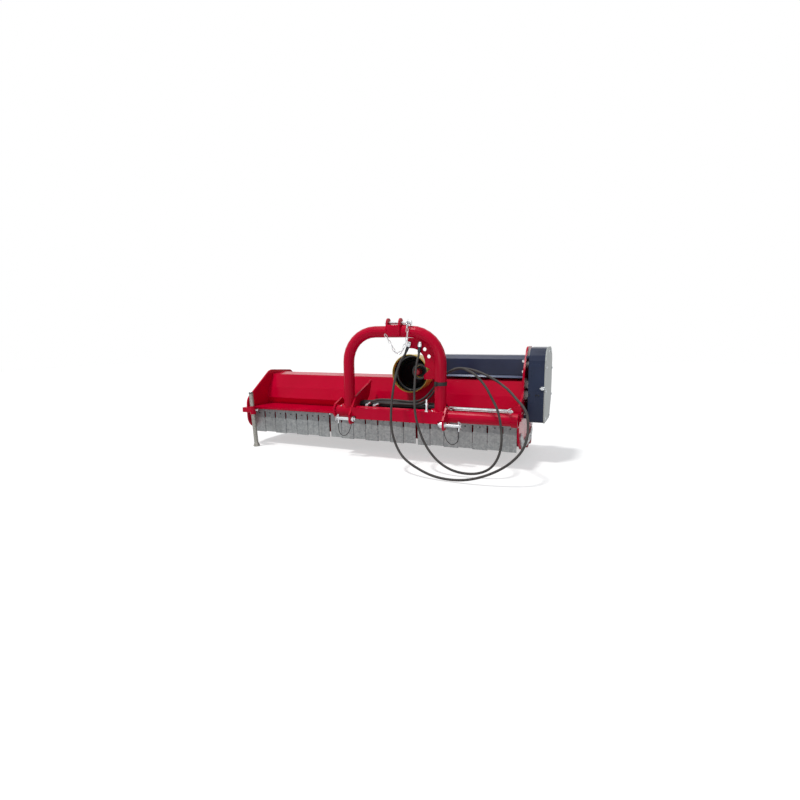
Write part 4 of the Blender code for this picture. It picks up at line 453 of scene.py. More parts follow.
# %% Galvanised steel
def galvanised(name, dark, light, cell, metal, marks=None):
    """Zinc crystals of one size under streaks of rain. marks is a function that adds to the colour."""
    material, tree, shader, coords = new_finish(name, Metallic=metal)
    # The borders wander by up to 12 mm in waves of 17 mm.
    stir = add_node(tree, "TexNoise", {"Vector": coords, "Scale": 60.0, "Detail": 2.0})
    shifted = add_node(tree, "VectorMath", {0: stir.outputs["Color"], "Scale": 0.012},
                       {"operation": "SCALE"})
    bent = add_node(tree, "VectorMath", {0: coords, 1: shifted}, {"operation": "ADD"})
    crystals = add_node(tree, "TexVoronoi", {"Vector": bent, "Scale": 1 / cell})
    shade = add_node(tree, "SeparateColor", {"Color": crystals.outputs["Color"]})
    tint = add_node(tree, "ValToRGB", {"Fac": shade.outputs["Red"]},
                    {"stops": [(0.0, dark), (1.0, light)]})
    # The streaks are 24 mm wide and 330 mm long.
    tall = add_node(tree, "Mapping", {"Vector": coords, "Scale": (42.0, 42.0, 3.0)})
    runs = add_node(tree, "TexNoise", {"Vector": tall, "Scale": 1.0, "Detail": 4.0})
    streak = add_node(tree, "MapRange",
                      {"Value": runs, "From Min": 0.52, "From Max": 0.75, "To Max": 0.35})
    colour = add_node(tree, "Mix", {0: streak, 6: tint, 7: linear("#6E706C")}, {"data_type": "RGBA"})
    if marks:
        colour = marks(tree, coords, colour)
    end_finish(shader, colour, (shade.outputs["Green"], 0.36, 0.54))
    return material


# Parking leg: drawn tube with small crystals of a warm grey.
stand_zinc = galvanised("galvanised_tube", "#8C8A82", "#B0AEA6", 0.007, 0.55)
# Wear plates: thick steel cools slowly, so their crystals are the largest and brightest.
skid_zinc = galvanised("galvanised_plate", "#9B9E9E", "#BDC0C0", 0.014, 0.40)

# %% [markdown]
# The flaps hang edge to edge. Painted shade darkens the gaps between them and the crease down each one's
# middle, and a painted shadow of the hood's lip darkens their upper third. This painted shade follows the
# row of flaps, so it is worked out from X, the flaps' pitch and Z instead of from a noise.

# %% Galvanised flaps and their painted shade
HALF = 1.020
FLAP_PITCH = 2 * HALF / 21
# The painted shadow of the hood's lip: the height of its edge, the slope of that edge across a flap and
# its fade, in metres.
LIP_SHADOW_ABOVE = 0.205
LIP_SHADOW_SLOPE = 0.010
LIP_SHADOW_FADE = 0.006


def flap_painted_shade(tree, coords, zinc):
    """Zinc with painted shade in gaps and creases, and a painted shadow of the lip with a sloping edge."""
    split = add_node(tree, "SeparateXYZ", {"Vector": coords})
    started = add_node(tree, "Math", {0: split.outputs["X"], 1: DATUM.x - HALF}, {"operation": "SUBTRACT"})
    turns = add_node(tree, "Math", {0: started, 1: FLAP_PITCH}, {"operation": "DIVIDE"})
    part = add_node(tree, "Math", {0: turns}, {"operation": "FRACT"})
    off = add_node(tree, "Math", {0: part, 1: 0.5}, {"operation": "SUBTRACT"})
    edge = add_node(tree, "Math", {0: off}, {"operation": "ABSOLUTE"})
    # Painted shade: of a flap's 97 mm, the outer 3 mm at each side and the middle 5 mm are darkened.
    gap_shade = add_node(tree, "MapRange",
                    {"Value": edge, "From Min": 0.470, "From Max": 0.492, "To Max": 0.75})
    crease_shade = add_node(tree, "MapRange",
                      {"Value": edge, "From Min": 0.026, "From Max": 0.0, "To Max": 0.28})
    # Painted shade in the gaps between flaps and down each flap's crease.
    line = add_node(tree, "Math", {0: gap_shade, 1: crease_shade}, {"operation": "MAXIMUM"})
    # Painted shadow of the hood's lip over each flap's upper part, its edge sloping across the flap.
    slope = add_node(tree, "Math", {0: part, 1: LIP_SHADOW_SLOPE}, {"operation": "MULTIPLY"})
    height = add_node(tree, "Math", {0: split.outputs["Z"], 1: slope}, {"operation": "ADD"})
    lip_shadow = add_node(tree, "MapRange",
                         {"Value": height, "From Min": LIP_SHADOW_ABOVE,
                          "From Max": LIP_SHADOW_ABOVE + LIP_SHADOW_FADE, "To Max": 0.36})
    # All of this painted shade is mixed into the zinc as a dark grey.
    painted_shade = add_node(tree, "Math", {0: line, 1: lip_shadow}, {"operation": "MAXIMUM"})
    return add_node(tree, "Mix", {0: painted_shade, 6: zinc, 7: linear("#3E4046")}, {"data_type": "RGBA"})


# Flaps: a cool mottled grey, with painted shade at each flap's edges and crease, and a painted shadow of
# the lip on top.
flap_zinc_and_shade = galvanised("galvanised_sheet_and_painted_shade", "#929596", "#B0B2B1", 0.011, 0.40, flap_painted_shade)

# %% [markdown]
# Pins, bolts and couplers are zinc plated: a thin bright coat over a turned surface. The ram's rod is
# ground and hard chromed, so it is the one mirror on the machine. The rotor, its hammers and the shafts
# are bare steel under a film of rust, which takes part of their metallic look.

# %% Plated and bare metals
def turned_metal(name, dark, light, polish, mark):
    """Plated steel: nearly even in colour, with tool marks that change its polish."""
    material, tree, shader, coords = new_finish(name, Metallic=1.0)
    # The colour drifts over 18 mm.
    _, tint = two_tones(tree, coords, 55.0, 4.0, (0.3, dark), (0.7, light))
    # Real tool marks are 0.1 to 0.3 mm apart. They are drawn some five times as coarse.
    marks = add_node(tree, "TexNoise", {"Vector": coords, "Scale": 1 / mark, "Detail": 2.0})
    end_finish(shader, tint, (marks, polish, polish + 0.14))
    return material


# Zinc plate: bright silver with a slightly broken shine.
bright_zinc = turned_metal("bright_zinc_plate", "#B9BDC1", "#DDE0E2", 0.18, 0.0012)
# Hard chrome: a mirror.
hard_chrome = turned_metal("hard_chrome", "#C6C9CC", "#E6E8EA", 0.05, 0.0008)
# Black oxide: dark steel that still glints.
black_oxide = turned_metal("black_oxide_steel", "#2A2B2E", "#46484C", 0.30, 0.0015)


def working_steel(name, steel, rust, amount):
    """Bare steel that works in wet grass: grey where it rubs, a thin brown film elsewhere."""
    material, tree, shader, coords = new_finish(name, Metallic=0.6)
    # The film of rust lies in patches of 38 mm.
    film = add_node(tree, "TexNoise", {"Vector": coords, "Scale": 26.0, "Detail": 8.0, "Roughness": 0.65})
    cover = add_node(tree, "MapRange",
                     {"Value": film, "From Min": 0.62 - amount, "From Max": 0.78 - amount})
    colour = add_node(tree, "Mix", {0: cover, 6: linear(steel), 7: linear(rust)}, {"data_type": "RGBA"})
    end_finish(shader, colour, (cover, 0.38, 0.72), (film, 0.25, 0.001))
    return material


# Rotor: dark steel, mostly brown. Hammers: rubbed grey. Shafts: nearly clean.
rotor_steel = working_steel("rotor_steel", "#4A4B4E", "#5A3C2A", 0.12)
hammer_steel = working_steel("hammer_steel", "#7C7D80", "#66503F", 0.06)
shaft_steel = working_steel("shaft_steel", "#8A8C8F", "#6B5646", 0.02)

# %% [markdown]
# A hydraulic hose has a synthetic rubber cover that is cured in a cloth wrap, which leaves a fine
# impression and a dull surface. The guard round the input shaft is moulded in yellow polyethylene:
# light goes a little way into it, and it yellows unevenly in the sun.

# %% Rubber and plastics
WAVE_REPEAT = 0.32


def rubber(name, base, dusty, wrap):
    """Rubber with the print of the cloth that it was cured in."""
    material, tree, shader, coords = new_finish(name, Specular_IOR_Level=0.4)
    # Dust lies in patches of 70 mm.
    dust, tint = two_tones(tree, coords, 14.0, 6.0, (0.35, base), (0.75, dusty))
    # A wave of scale 1 repeats every 0.32 m. A real wrap leaves a ridge every half millimetre, and it is
    # drawn three times as coarse.
    cloth = add_node(tree, "TexWave",
                     {"Vector": coords, "Scale": WAVE_REPEAT / wrap, "Distortion": 1.5, "Detail": 1.0},
                     {"wave_type": "BANDS", "bands_direction": "DIAGONAL"})
    end_finish(shader, tint, (dust, 0.46, 0.72), (cloth.outputs["Fac"], 0.15, 0.0006))
    return material


def moulded(name, base, faded, gloss, depth=0.0):
    """Moulded plastic, a little faded in patches; a depth lets light into it."""
    material, tree, shader, coords = new_finish(name, Subsurface_Weight=0.35 if depth else 0.0,
                                                Subsurface_Scale=depth or 0.05)
    # It fades in patches of 110 mm. The mould's grain is drawn 1.4 mm wide, twice as coarse as a real one.
    patches, tint = two_tones(tree, coords, 9.0, 5.0, (0.3, base), (0.75, faded))
    skin = add_node(tree, "TexNoise", {"Vector": coords, "Scale": 700.0})
    end_finish(shader, tint, (patches, gloss, gloss + 0.15), (skin, 0.06, 0.0005))
    return material


# Hoses: a dusty brownish black without shine. Belts and strap: a cleaner black.
hose_rubber = rubber("hose_rubber", "#2B2827", "#4A4643", 0.0016)
belt_rubber = rubber("belt_rubber", "#161616", "#2C2B2A", 0.0020)
# Lanyards: smooth black that catches a thin line of light.
cable_coat = moulded("cable_coat", "#0F0F10", "#1D1D1F", 0.30)
# Guard: a dull ochre yellow that glows a little at its edges.
guard_plastic = moulded("yellow_polyethylene", "#B99A32", "#D8BE62", 0.30, 0.006)
# Liner and plug: glossy black. Cap: bright red.
liner_plastic = moulded("black_polyethylene", "#08080A", "#131316", 0.10)
cap_plastic = moulded("red_polyethylene", "#C4102A", "#D22440", 0.35)

# %% [markdown]
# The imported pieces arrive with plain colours. Each keeps its mesh, and its material slot gets a finish.
# A few pieces are of two metals, such as the ram's painted barrel with its plated fittings, so some of
# their faces get a second finish, chosen by where they lie.

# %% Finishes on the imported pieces
FINISH_OF = {
    red_enamel: ["hood_shell", "end_plate_left", "end_plate_right", "rear_hood", "carriage_frame",
                 "mast_arch", "top_link_ears", "coupler_plate", "slide_tube", "slide_bracket_left",
                 "slide_bracket_right", "stand_socket"],
    roller_enamel: ["rear_roller", "roller_bracket_left", "roller_bracket_right"],
    slate_powder: ["shaft_cover"],
    # The belt case gets the darker copy of the cover's slate: painted shade.
    case_shaded_powder: ["belt_case"],
    lid_powder: ["belt_case_lid"],
    case_iron: ["gearbox", "gearbox_seat", "rotor_bearing_left", "rotor_bearing_right", "shaft_bearing",
                "rotor_pulley", "shaft_pulley"],
    ram_paint: ["ram_barrel"],
    flap_zinc_and_shade: ["flaps_left", "flaps_middle", "flaps_right"],
    stand_zinc: ["stand_leg"],
    skid_zinc: ["skid_left", "skid_right"],
    bright_zinc: ["flap_rod", "hitch_pin_left", "hitch_pin_right", "linch_pin_left", "linch_pin_right",
                  "linch_ring_left", "linch_ring_right", "top_link_pin", "top_pin_chain", "coupler_a",
                  "coupler_b", "ram_bolt", "stand_clamp_screw"],
    hard_chrome: ["ram_rod"],
    rotor_steel: ["rotor_tube", "counter_knife"],
    hammer_steel: ["hammer_row_1", "hammer_row_2", "hammer_row_3"],
    shaft_steel: ["cross_shaft", "pto_stub"],
    belt_rubber: ["drive_belt"],
    guard_plastic: ["pto_shield"],
    cap_plastic: ["pto_cap"],
}
for material, names in FINISH_OF.items():
    for name in names:
        nodes[name].data.materials.clear()
        nodes[name].data.materials.append(material)
for cord in cords.values():
    cord.data.materials.append(hose_rubber if "hose" in cord.name else cable_coat)
unfinished = set(nodes) - {name for names in FINISH_OF.values() for name in names} - set(cords)
print("without a finish:", sorted(unfinished))

# %% Second finishes
BARREL_FRONT = -0.0645
BEAM_FRONT, BEAM_BACK, BEAM_LOW, BEAM_HIGH = -0.178, -0.151, 0.271, 0.345
LOCK_BOLT_X = LEG_RIGHT - LEG_RADIUS - 0.036
LOCK_BOLT_Y = (BEAM_FRONT + BEAM_BACK) / 2
LOCK_BOLT_REACH = 0.016


def second_finish(name, material, chosen):
    """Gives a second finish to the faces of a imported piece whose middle, on the drawing, is chosen."""
    mesh = nodes[name].data
    mesh.materials.append(material)
    count = 0
    for face in mesh.polygons:
        if chosen(face.center - DATUM):
            face.material_index = len(mesh.materials) - 1
            count += 1
    print(f"{name}: {count} faces in {material.name}")


def on_lock_bolt(spot):
    """Whether a spot belongs to the bolt that stands on the carriage's beam."""
    across = max(abs(spot.x - LOCK_BOLT_X), abs(spot.y - LOCK_BOLT_Y))
    return across < LOCK_BOLT_REACH and spot.z > BEAM_HIGH + 0.0002


second_finish("ram_barrel", bright_zinc, lambda spot: spot.y < BARREL_FRONT)
second_finish("carriage_frame", bright_zinc, on_lock_bolt)
# Below its collar each coupler is the crimped ferrule of its hose, which is dark.
for name, collar in (("coupler_a", ARCH_TOP - 0.0965), ("coupler_b", ARCH_TOP - 0.0985)):
    second_finish(name, black_oxide, lambda spot: spot.z < collar)

# %% [markdown]
# ## Small parts
# The solids leave out what is put on with a spanner. Each small part is shaped once by hand, as a press or
# a lathe would shape it, and then copied to each of its places with a mesh of its own. An array could
# repeat a bolt too, but the places here follow no even grid, so a list of places is plainer. The first
# helpers below stand for the moves of a hand in edit mode.

# %% Helpers for shaping
LEFT, RIGHT = Vector((-1, 0, 0)), Vector((1, 0, 0))
FRONT, BACK = Vector((0, -1, 0)), Vector((0, 1, 0))
DOWN, UP = Vector((0, 0, -1)), Vector((0, 0, 1))


def begin(add, **measures):
    """Adds a primitive while nothing else is selected, and opens it in edit mode."""
    bpy.ops.object.select_all(action="DESELECT")
    add(**measures)
    bpy.ops.object.mode_set(mode="EDIT")
    return bpy.context.object


def pick(*ways, where=None, least=0.9):
    """Selects just the faces that look one of some ways and whose middle passes a test."""
    bpy.ops.mesh.select_mode(type="FACE")
    bpy.ops.mesh.select_all(action="DESELECT")
    mesh = bmesh.from_edit_mesh(bpy.context.object.data)
    for face in mesh.faces:
        looks = any(face.normal.dot(way) > least for way in ways)
        if looks and (where is None or where(face.calc_center_median())):
            face.select_set(True)
    bmesh.update_edit_mesh(bpy.context.object.data)


def extrude(*shift):
    """Extrudes the picked faces and shifts the new ones."""
    bpy.ops.mesh.extrude_region_move(TRANSFORM_OT_translate={"value": shift})


def swell(height):
    """Extrudes the picked faces along their normals, or inwards where the height is below zero."""
    bpy.ops.mesh.extrude_region_shrink_fatten(TRANSFORM_OT_shrink_fatten={"value": height})


def terrace(*steps):
    """Insets the picked faces and lifts what is inside, once for each step."""
    for inset, rise in steps:
        bpy.ops.mesh.inset(thickness=inset)
        bpy.ops.transform.translate(value=(0, 0, rise))


def soften(offset):
    """Bevels every edge of the piece in edit mode, and leaves edit mode."""
    bpy.ops.mesh.select_all(action="SELECT")
    bpy.ops.mesh.bevel(offset=offset, segments=2)
    bpy.ops.object.mode_set(mode="OBJECT")


def thicken(piece, thickness, offset):
    """Leaves edit mode, and gives a sheet its thickness."""
    bpy.ops.object.mode_set(mode="OBJECT")
    wall = piece.modifiers.new("wall", "SOLIDIFY")
    wall.thickness = thickness
    wall.offset = offset
    bpy.ops.object.modifier_apply(modifier="wall")


def bake(piece):
    """Leaves edit mode, and puts the piece's place, turn and scale into its mesh."""
    bpy.ops.object.mode_set(mode="OBJECT")
    only(piece)
    bpy.ops.object.transform_apply(location=True, rotation=True, scale=True)


# %% [markdown]
# The next helpers bring a shaped piece home: they join what belongs together, copy a pattern to its
# places, and give the finished piece its name, its finish and the body that it rides on.

# %% Helpers for placing
def settle(piece, name, material, body, smooth=None):
    """Finishes a piece: its place, name, finish and body, and smooth shading below an angle in degrees."""
    bake(piece)
    piece.name = name
    piece.data.name = name
    piece.data.materials.clear()
    piece.data.materials.append(material)
    if smooth:
        bpy.ops.object.shade_smooth_by_angle(angle=math.radians(smooth))
    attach(piece, body)
    print(f"{name}: {len(piece.data.polygons)} faces on {body}")


def join(pieces):
    """Joins pieces into the first one."""
    bpy.ops.object.select_all(action="DESELECT")
    for piece in pieces:
        piece.select_set(True)
    bpy.context.view_layer.objects.active = pieces[0]
    bpy.ops.object.join()
    return pieces[0]


def fit(pattern, name, spots, material, body):
    """Copies a pattern to its spots. A spot is a point, the direction it faces and a size in metres."""
    copies = []
    for point, outwards, size in spots:
        copy = bpy.data.objects.new(name, pattern.data.copy())
        bpy.context.collection.objects.link(copy)
        turn = Vector(outwards).to_track_quat("Z", "Y").to_matrix().to_4x4()
        copy.matrix_world = Matrix.Translation(place(*point)) @ turn @ Matrix.Scale(size, 4)
        copies.append(copy)
    settle(join(copies), name, material, body)


# %% [markdown]
# A hexagon bolt's head is forged from wire: six flats, and a chamfered top where the die closed. Under it
# lies a stamped washer. The pattern is one unit from its middle to a corner, so that a size in metres
# gives M8 or M12 alike.

# %% Pattern of a bolt with its washer
bolt_pattern = begin(bpy.ops.mesh.primitive_cylinder_add, vertices=6, radius=1.0, depth=0.56,
                     location=(0, 0, 0.46))
pick(UP)
terrace((0.16, 0.10))
bpy.ops.mesh.select_all(action="DESELECT")
bpy.ops.mesh.primitive_cylinder_add(vertices=20, radius=1.32, depth=0.20, location=(0, 0, 0.10))
pick(UP, where=lambda middle: middle.z < 0.0)
terrace((0.08, 0.05))
bake(bolt_pattern)
print("bolt pattern:", len(bolt_pattern.data.polygons), "faces")

# %% [markdown]
# Bolts hold the bearings, the wear shoes and the roller's brackets to the end plates, the cover to its
# bracket and the covers of the gearbox to its casting. Their sizes follow the thread that such a machine
# has there: M10 is 9.5 mm from middle to corner, M8 7.5 mm.

# %% Bolts
PLATE_FACE = HALF + 0.0123
ROTOR_Y, ROTOR_Z = 0.340, 0.340
SKID_PROUD = 0.0083
SKID_BOLTS = ((0.100, 0.118), (0.250, 0.118), (0.400, 0.118))
BRACKET_BOLTS = ((0.436, 0.212), (0.476, 0.196))
COVER_FRONT = 0.238
PTO_X = ARCH_X + 0.071
SHAFT_Y, SHAFT_Z = 0.315, 0.571
GEARBOX_HALF_WIDTH, GEARBOX_HALF_DEPTH = 0.075, 0.080
M8, M10, M12 = 0.0075, 0.0095, 0.0108
BEARING_BOLT, RAM_NUT = 0.0082, 0.0135


def on_circle(radius, angle):
    """How far a point on a circle lies along the circle's two axes, at an angle in degrees."""
    return radius * math.cos(math.radians(angle)), radius * math.sin(math.radians(angle))


def ring_spots(centre, axis, radius, count, first, size):
    """Spots evenly round an axis along X or Y, the first one at an angle in degrees."""
    spots = []
    for i in range(count):
        a, b = on_circle(radius, first + 360 / count * i)
        offset = (0, a, b) if axis.x else (a, 0, b)
        spots.append((Vector(centre) + Vector(offset), axis, size))
    return spots


for name, side, out in (("left", -1, LEFT), ("right", 1, RIGHT)):
    flange = (side * (PLATE_FACE + 0.008), ROTOR_Y, ROTOR_Z)
    spots = ring_spots(flange, out, 0.0535, 4, 45, BEARING_BOLT)
    fit(bolt_pattern, f"bearing_bolts_{name}", spots, bright_zinc, "frame")
    spots = [((side * (PLATE_FACE + SKID_PROUD), y, z), out, M10) for y, z in SKID_BOLTS]
    spots += [((side * (PLATE_FACE - FIT), y, z), out, M12) for y, z in BRACKET_BOLTS]
    fit(bolt_pattern, f"plate_bolts_{name}", spots, bright_zinc, "frame")

cover_spots = [((x, COVER_FRONT, z), FRONT, M8) for x in (1.004, 0.410) for z in (0.583, 0.652)]
fit(bolt_pattern, "cover_bolts", cover_spots, bright_zinc, "frame")
ram_spots = [((HALF - 0.038, -0.0700, 0.3520), FRONT, RAM_NUT)]
fit(bolt_pattern, "ram_bolt_nut", ram_spots, bright_zinc, "frame")
gear_spots = ring_spots((PTO_X, SHAFT_Y + GEARBOX_HALF_DEPTH, SHAFT_Z), BACK, 0.058, 6, 30, M8)
gear_spots += ring_spots((PTO_X - GEARBOX_HALF_WIDTH, SHAFT_Y, SHAFT_Z), LEFT, 0.052, 6, 30, M8)
gear_spots += ring_spots((PTO_X + GEARBOX_HALF_WIDTH, SHAFT_Y, SHAFT_Z), RIGHT, 0.052, 4, 45, M8)
fit(bolt_pattern, "gearbox_bolts", gear_spots, black_oxide, "frame")

# %% [markdown]
# The belt case's lid is held by screws round its rim. The pattern for them is a low button head with its
# socket sunk in, made by insetting the top of a short cylinder and pressing the inner face down.

# %% Pattern of a button screw, and the screws of the belt case
CASE_SEAM_X = 1.156
LID_FACE_X = 1.163
LID_SCREWS = ((0.116, 0.300), (0.116, 0.470), (0.122, 0.620), (0.205, 0.722),
              (0.345, 0.722), (0.446, 0.600), (0.448, 0.420), (0.352, 0.286))
LID_SCREW, CASE_RIVET, FLAP_RIVET = 0.008, 0.0052, 0.0046
screw_pattern = begin(bpy.ops.mesh.primitive_cylinder_add, vertices=16, radius=1.0, depth=0.5,
                      location=(0, 0, 0.25))
pick(UP)
terrace((0.22, 0.26), (0.22, 0.06), (0.12, -0.34))
bake(screw_pattern)

lid_spots = [((LID_FACE_X, y, z), RIGHT, LID_SCREW) for y, z in LID_SCREWS]
fit(screw_pattern, "lid_screws", lid_spots, bright_zinc, "frame")
case_spots = [((x, 0.100, 0.446), FRONT, CASE_RIVET) for x in (1.066, 1.108, 1.124)]
fit(screw_pattern, "case_rivets", case_spots, black_oxide, "frame")

# %% [markdown]
# Each flap hangs on a dark rivet near its top. Seen from the front they are a row of dots, one in the
# middle of each flap.

# %% Rivets of the flaps
FLAPS_PER_GROUP = 7
FLAP_FACE_Y = -0.0100
FLAP_RIVET_Z = 0.2385
for group, name in enumerate(("left", "middle", "right")):
    first = group * FLAPS_PER_GROUP + 0.5
    spots = [((-HALF + (first + i) * FLAP_PITCH, FLAP_FACE_Y, FLAP_RIVET_Z), FRONT, FLAP_RIVET)
             for i in range(FLAPS_PER_GROUP)]
    fit(screw_pattern, f"flap_rivets_{name}", spots, black_oxide, f"flap_group_{name}")

# %% [markdown]
# Grease nipples feed the sliding sleeves and the bearings. A nipple is turned: a foot, a waist and a
# ball. It grows out of a twelve sided cylinder, whose top face is extruded and made wider or narrower
# step by step.

# %% Grease nipples
NIPPLE = 0.0036
SLEEVE_RADIUS = 0.0465
SLANT = 1 / math.sqrt(2)
HUB_X, HUB_RADIUS = 1.049, 0.0405
nipple_pattern = begin(bpy.ops.mesh.primitive_cylinder_add, vertices=12, radius=1.0, depth=0.9,
                       location=(0, 0, 0.45))
for rise, width in ((0.1, 0.65), (0.8, 0.95), (0.25, 1.18), (0.35, 0.98), (0.25, 0.75)):
    pick(UP)
    extrude(0, 0, rise)
    bpy.ops.transform.resize(value=(width, width, 1), center_override=(0, 0, 0))
bake(nipple_pattern)

sleeve_spots = [((x - 0.045, SLIDE_Y - SLEEVE_RADIUS * SLANT, SLIDE_Z + SLEEVE_RADIUS * SLANT),
                 (0, -1, 1), NIPPLE) for x in (LEG_LEFT, LEG_RIGHT)]
fit(nipple_pattern, "sleeve_nipples", sleeve_spots, bright_zinc, "carriage")
hub_spots = [((side * HUB_X, ROTOR_Y, ROTOR_Z + HUB_RADIUS), UP, NIPPLE) for side in (-1, 1)]
fit(nipple_pattern, "bearing_nipples", hub_spots, bright_zinc, "frame")
for pattern in (bolt_pattern, screw_pattern, nipple_pattern):
    bpy.data.objects.remove(pattern)

# %% [markdown]
# The guard of the input shaft has a black liner that keeps grass off the gearbox's seal, and its mouth has
# a rolled rim. The liner starts as an open ring behind the mouth, which is extruded inwards and narrowed
# step by step, and then gets its thickness. A step part of the way in stiffens it, and it is what catches
# the light. The rim is a ring that is drawn out along the shaft.

# %% Liner and rim of the guard
LINER_START, LINER_MOUTH, LINER_WALL = 0.036, 0.1240, 0.0008
LINER_STEPS = ((0.030, 0.1225), (0.003, 0.1210), (0.001, 0.1110), (0.004, 0.1090), (0.050, 0.1060),
               (0.030, 0.0960), (0.030, 0.0720), (0.018, 0.0560), (0.0005, 0.0440))
RIM_Y = 0.0150
FACING_FRONT = (math.radians(90), 0, 0)
liner_radius = LINER_MOUTH
liner = begin(bpy.ops.mesh.primitive_circle_add, vertices=64, radius=liner_radius,
              location=place(PTO_X, LINER_START, SHAFT_Z), rotation=FACING_FRONT)
for inwards, narrower in LINER_STEPS:
    bpy.ops.mesh.extrude_edges_move(TRANSFORM_OT_translate={"value": (0, inwards, 0)})
    scale = narrower / liner_radius
    bpy.ops.transform.resize(value=(scale, 1, scale), center_override=place(PTO_X, 0.0, SHAFT_Z))
    liner_radius = narrower
thicken(liner, LINER_WALL, 0.0)
settle(liner, "guard_liner", liner_plastic, "frame", smooth=40)

rim_middle = place(PTO_X, RIM_Y, SHAFT_Z)
rim = begin(bpy.ops.mesh.primitive_torus_add, major_radius=0.1274, minor_radius=0.0034, major_segments=64,
            minor_segments=12, location=rim_middle, rotation=FACING_FRONT)
bpy.ops.transform.resize(value=(1, 1.35, 1), center_override=rim_middle)
settle(rim, "guard_rim", guard_plastic, "frame", smooth=60)

# %% [markdown]
# A rubber strap round the right leg of the arch keeps the hoses off the drawbar in transport. It is a band
# with a buckle: a ring round the leg, extruded upwards and thickened, and a turned block with a sunk
# middle.

# %% Strap on the arch's right leg
STRAP_LOW, STRAP_HIGH, STRAP_HEM, STRAP_WALL = 0.510, 0.533, 0.0015, 0.0024
BUCKLE_TURN = -28
strap = begin(bpy.ops.mesh.primitive_circle_add, vertices=40, radius=LEG_RADIUS + 0.0010,
              location=place(LEG_RIGHT, SLIDE_Y, STRAP_LOW))
for rise in (STRAP_HEM, STRAP_HIGH - STRAP_LOW - 2 * STRAP_HEM, STRAP_HEM):
    bpy.ops.mesh.extrude_edges_move(TRANSFORM_OT_translate={"value": (0, 0, rise)})
thicken(strap, STRAP_WALL, 1.0)


def block(middle, size, turn=0.0, placed=False):
    """A box in edit mode, turned about Z by an angle in degrees; placed puts its place into its mesh."""
    bpy.ops.object.select_all(action="DESELECT")
    bpy.ops.mesh.primitive_cube_add(size=1.0, location=middle, rotation=(0, 0, math.radians(turn)))
    piece = bpy.context.object
    piece.scale = size
    bpy.ops.object.transform_apply(location=placed, rotation=True, scale=True)
    bpy.ops.object.mode_set(mode="EDIT")
    return piece


buckle = block(place(LEG_RIGHT - 0.020, SLIDE_Y - 0.0375, (STRAP_LOW + STRAP_HIGH) / 2),
               (0.020, 0.009, 0.030), BUCKLE_TURN)
bpy.ops.mesh.bevel(offset=0.0015, segments=2)
pick(FRONT, least=0.8)
bpy.ops.mesh.inset(thickness=0.004)
swell(-0.002)
bpy.ops.object.mode_set(mode="OBJECT")
settle(join([strap, buckle]), "hose_strap", belt_rubber, "carriage", smooth=35)

# %% [markdown]
# An over-centre latch on the front of the belt case pulls the lid shut: a base that is folded from sheet,
# a lever that lies on it and a wire bail that hooks over the lid's rim.

# %% Latch of the belt case
LATCH_X = CASE_SEAM_X - 0.010
LATCH_Z = 0.490
base = block(place(LATCH_X, 0.0978, LATCH_Z), (0.016, 0.0044, 0.018))
pick(UP, DOWN)
swell(0.002)
pick(FRONT)
bpy.ops.mesh.inset(thickness=0.0025)
swell(-0.0015)
bpy.ops.object.mode_set(mode="OBJECT")
lever = block(place(LATCH_X, 0.0945, LATCH_Z), (0.018, 0.0030, 0.009))
pick(LEFT)
extrude(-0.006, -0.003, 0)
bpy.ops.transform.resize(value=(1, 1, 0.75), center_override=place(LATCH_X - 0.015, 0.0915, LATCH_Z))
soften(0.0007)
settle(join([base, lever]), "latch_lever", bright_zinc, "frame")

# The lower half of the bail: how far each point lies beyond the seam, its Y and how far below the middle.
BAIL = ((-0.006, 0.0925, -0.006), (0.003, 0.0925, -0.006), (0.0085, 0.0950, -0.0055),
        (0.0100, 0.1010, -0.006))
bail_line = [(CASE_SEAM_X + x, y, LATCH_Z + z) for x, y, z in BAIL]
bail_line += [(CASE_SEAM_X + x, y, LATCH_Z - z) for x, y, z in reversed(BAIL)]
bail = round_cord("bail", [place(*p) for p in smooth_line(bail_line, 0.002)], 0.0014, 2)
settle(wire_to_mesh(bail), "latch_bail", bright_zinc, "frame", smooth=60)

# %% [markdown]
# The top link's pin is kept by a spring clip through its end, with a ring to pull it by. Both are bent
# from wire, so they are curves with a round bevel, turned to meshes once their lines are right.

# %% Clip and ring of the top pin
TOP_X = ARCH_X + 0.022
CLIP_X, TOP_PIN_Y, TOP_PIN_Z = TOP_X + 0.094, SLIDE_Y - 0.020, ARCH_TOP + 0.056
# How far each bend of the clip lies behind and above the pin.
CLIP = ((0.0, 0.022), (0.0, 0.0), (0.0, -0.030), (-0.004, -0.040), (-0.014, -0.036), (-0.018, -0.022),
        (-0.0135, -0.004), (-0.016, 0.010))
clip_line = [(CLIP_X, TOP_PIN_Y + y, TOP_PIN_Z + z) for y, z in CLIP]
clip = round_cord("clip", [place(*p) for p in smooth_line(clip_line, 0.003)], 0.0021, 2)
ring_line = []
for a in range(0, 360, 15):
    rise, across = on_circle(1.0, a)
    ring_line.append((CLIP_X + 0.020 + 0.0035 * rise, TOP_PIN_Y - 0.012 * across,
                      TOP_PIN_Z - 0.004 + 0.0135 * rise))
ring = round_cord("ring", [place(*p) for p in ring_line], 0.0016, 2)
ring.data.splines[0].use_cyclic_u = True
settle(join([wire_to_mesh(clip), wire_to_mesh(ring)]), "top_pin_clip", bright_zinc, "carriage", smooth=60)

# %% [markdown]
# The parking leg is a tube, and a plastic plug closes its open top so that it doesn't fill with rain. The
# plug has a stepped rim and a dished top, and it leans as the leg does.

# %% Plug of the parking leg
STAND_LEAN = math.radians(4.5)
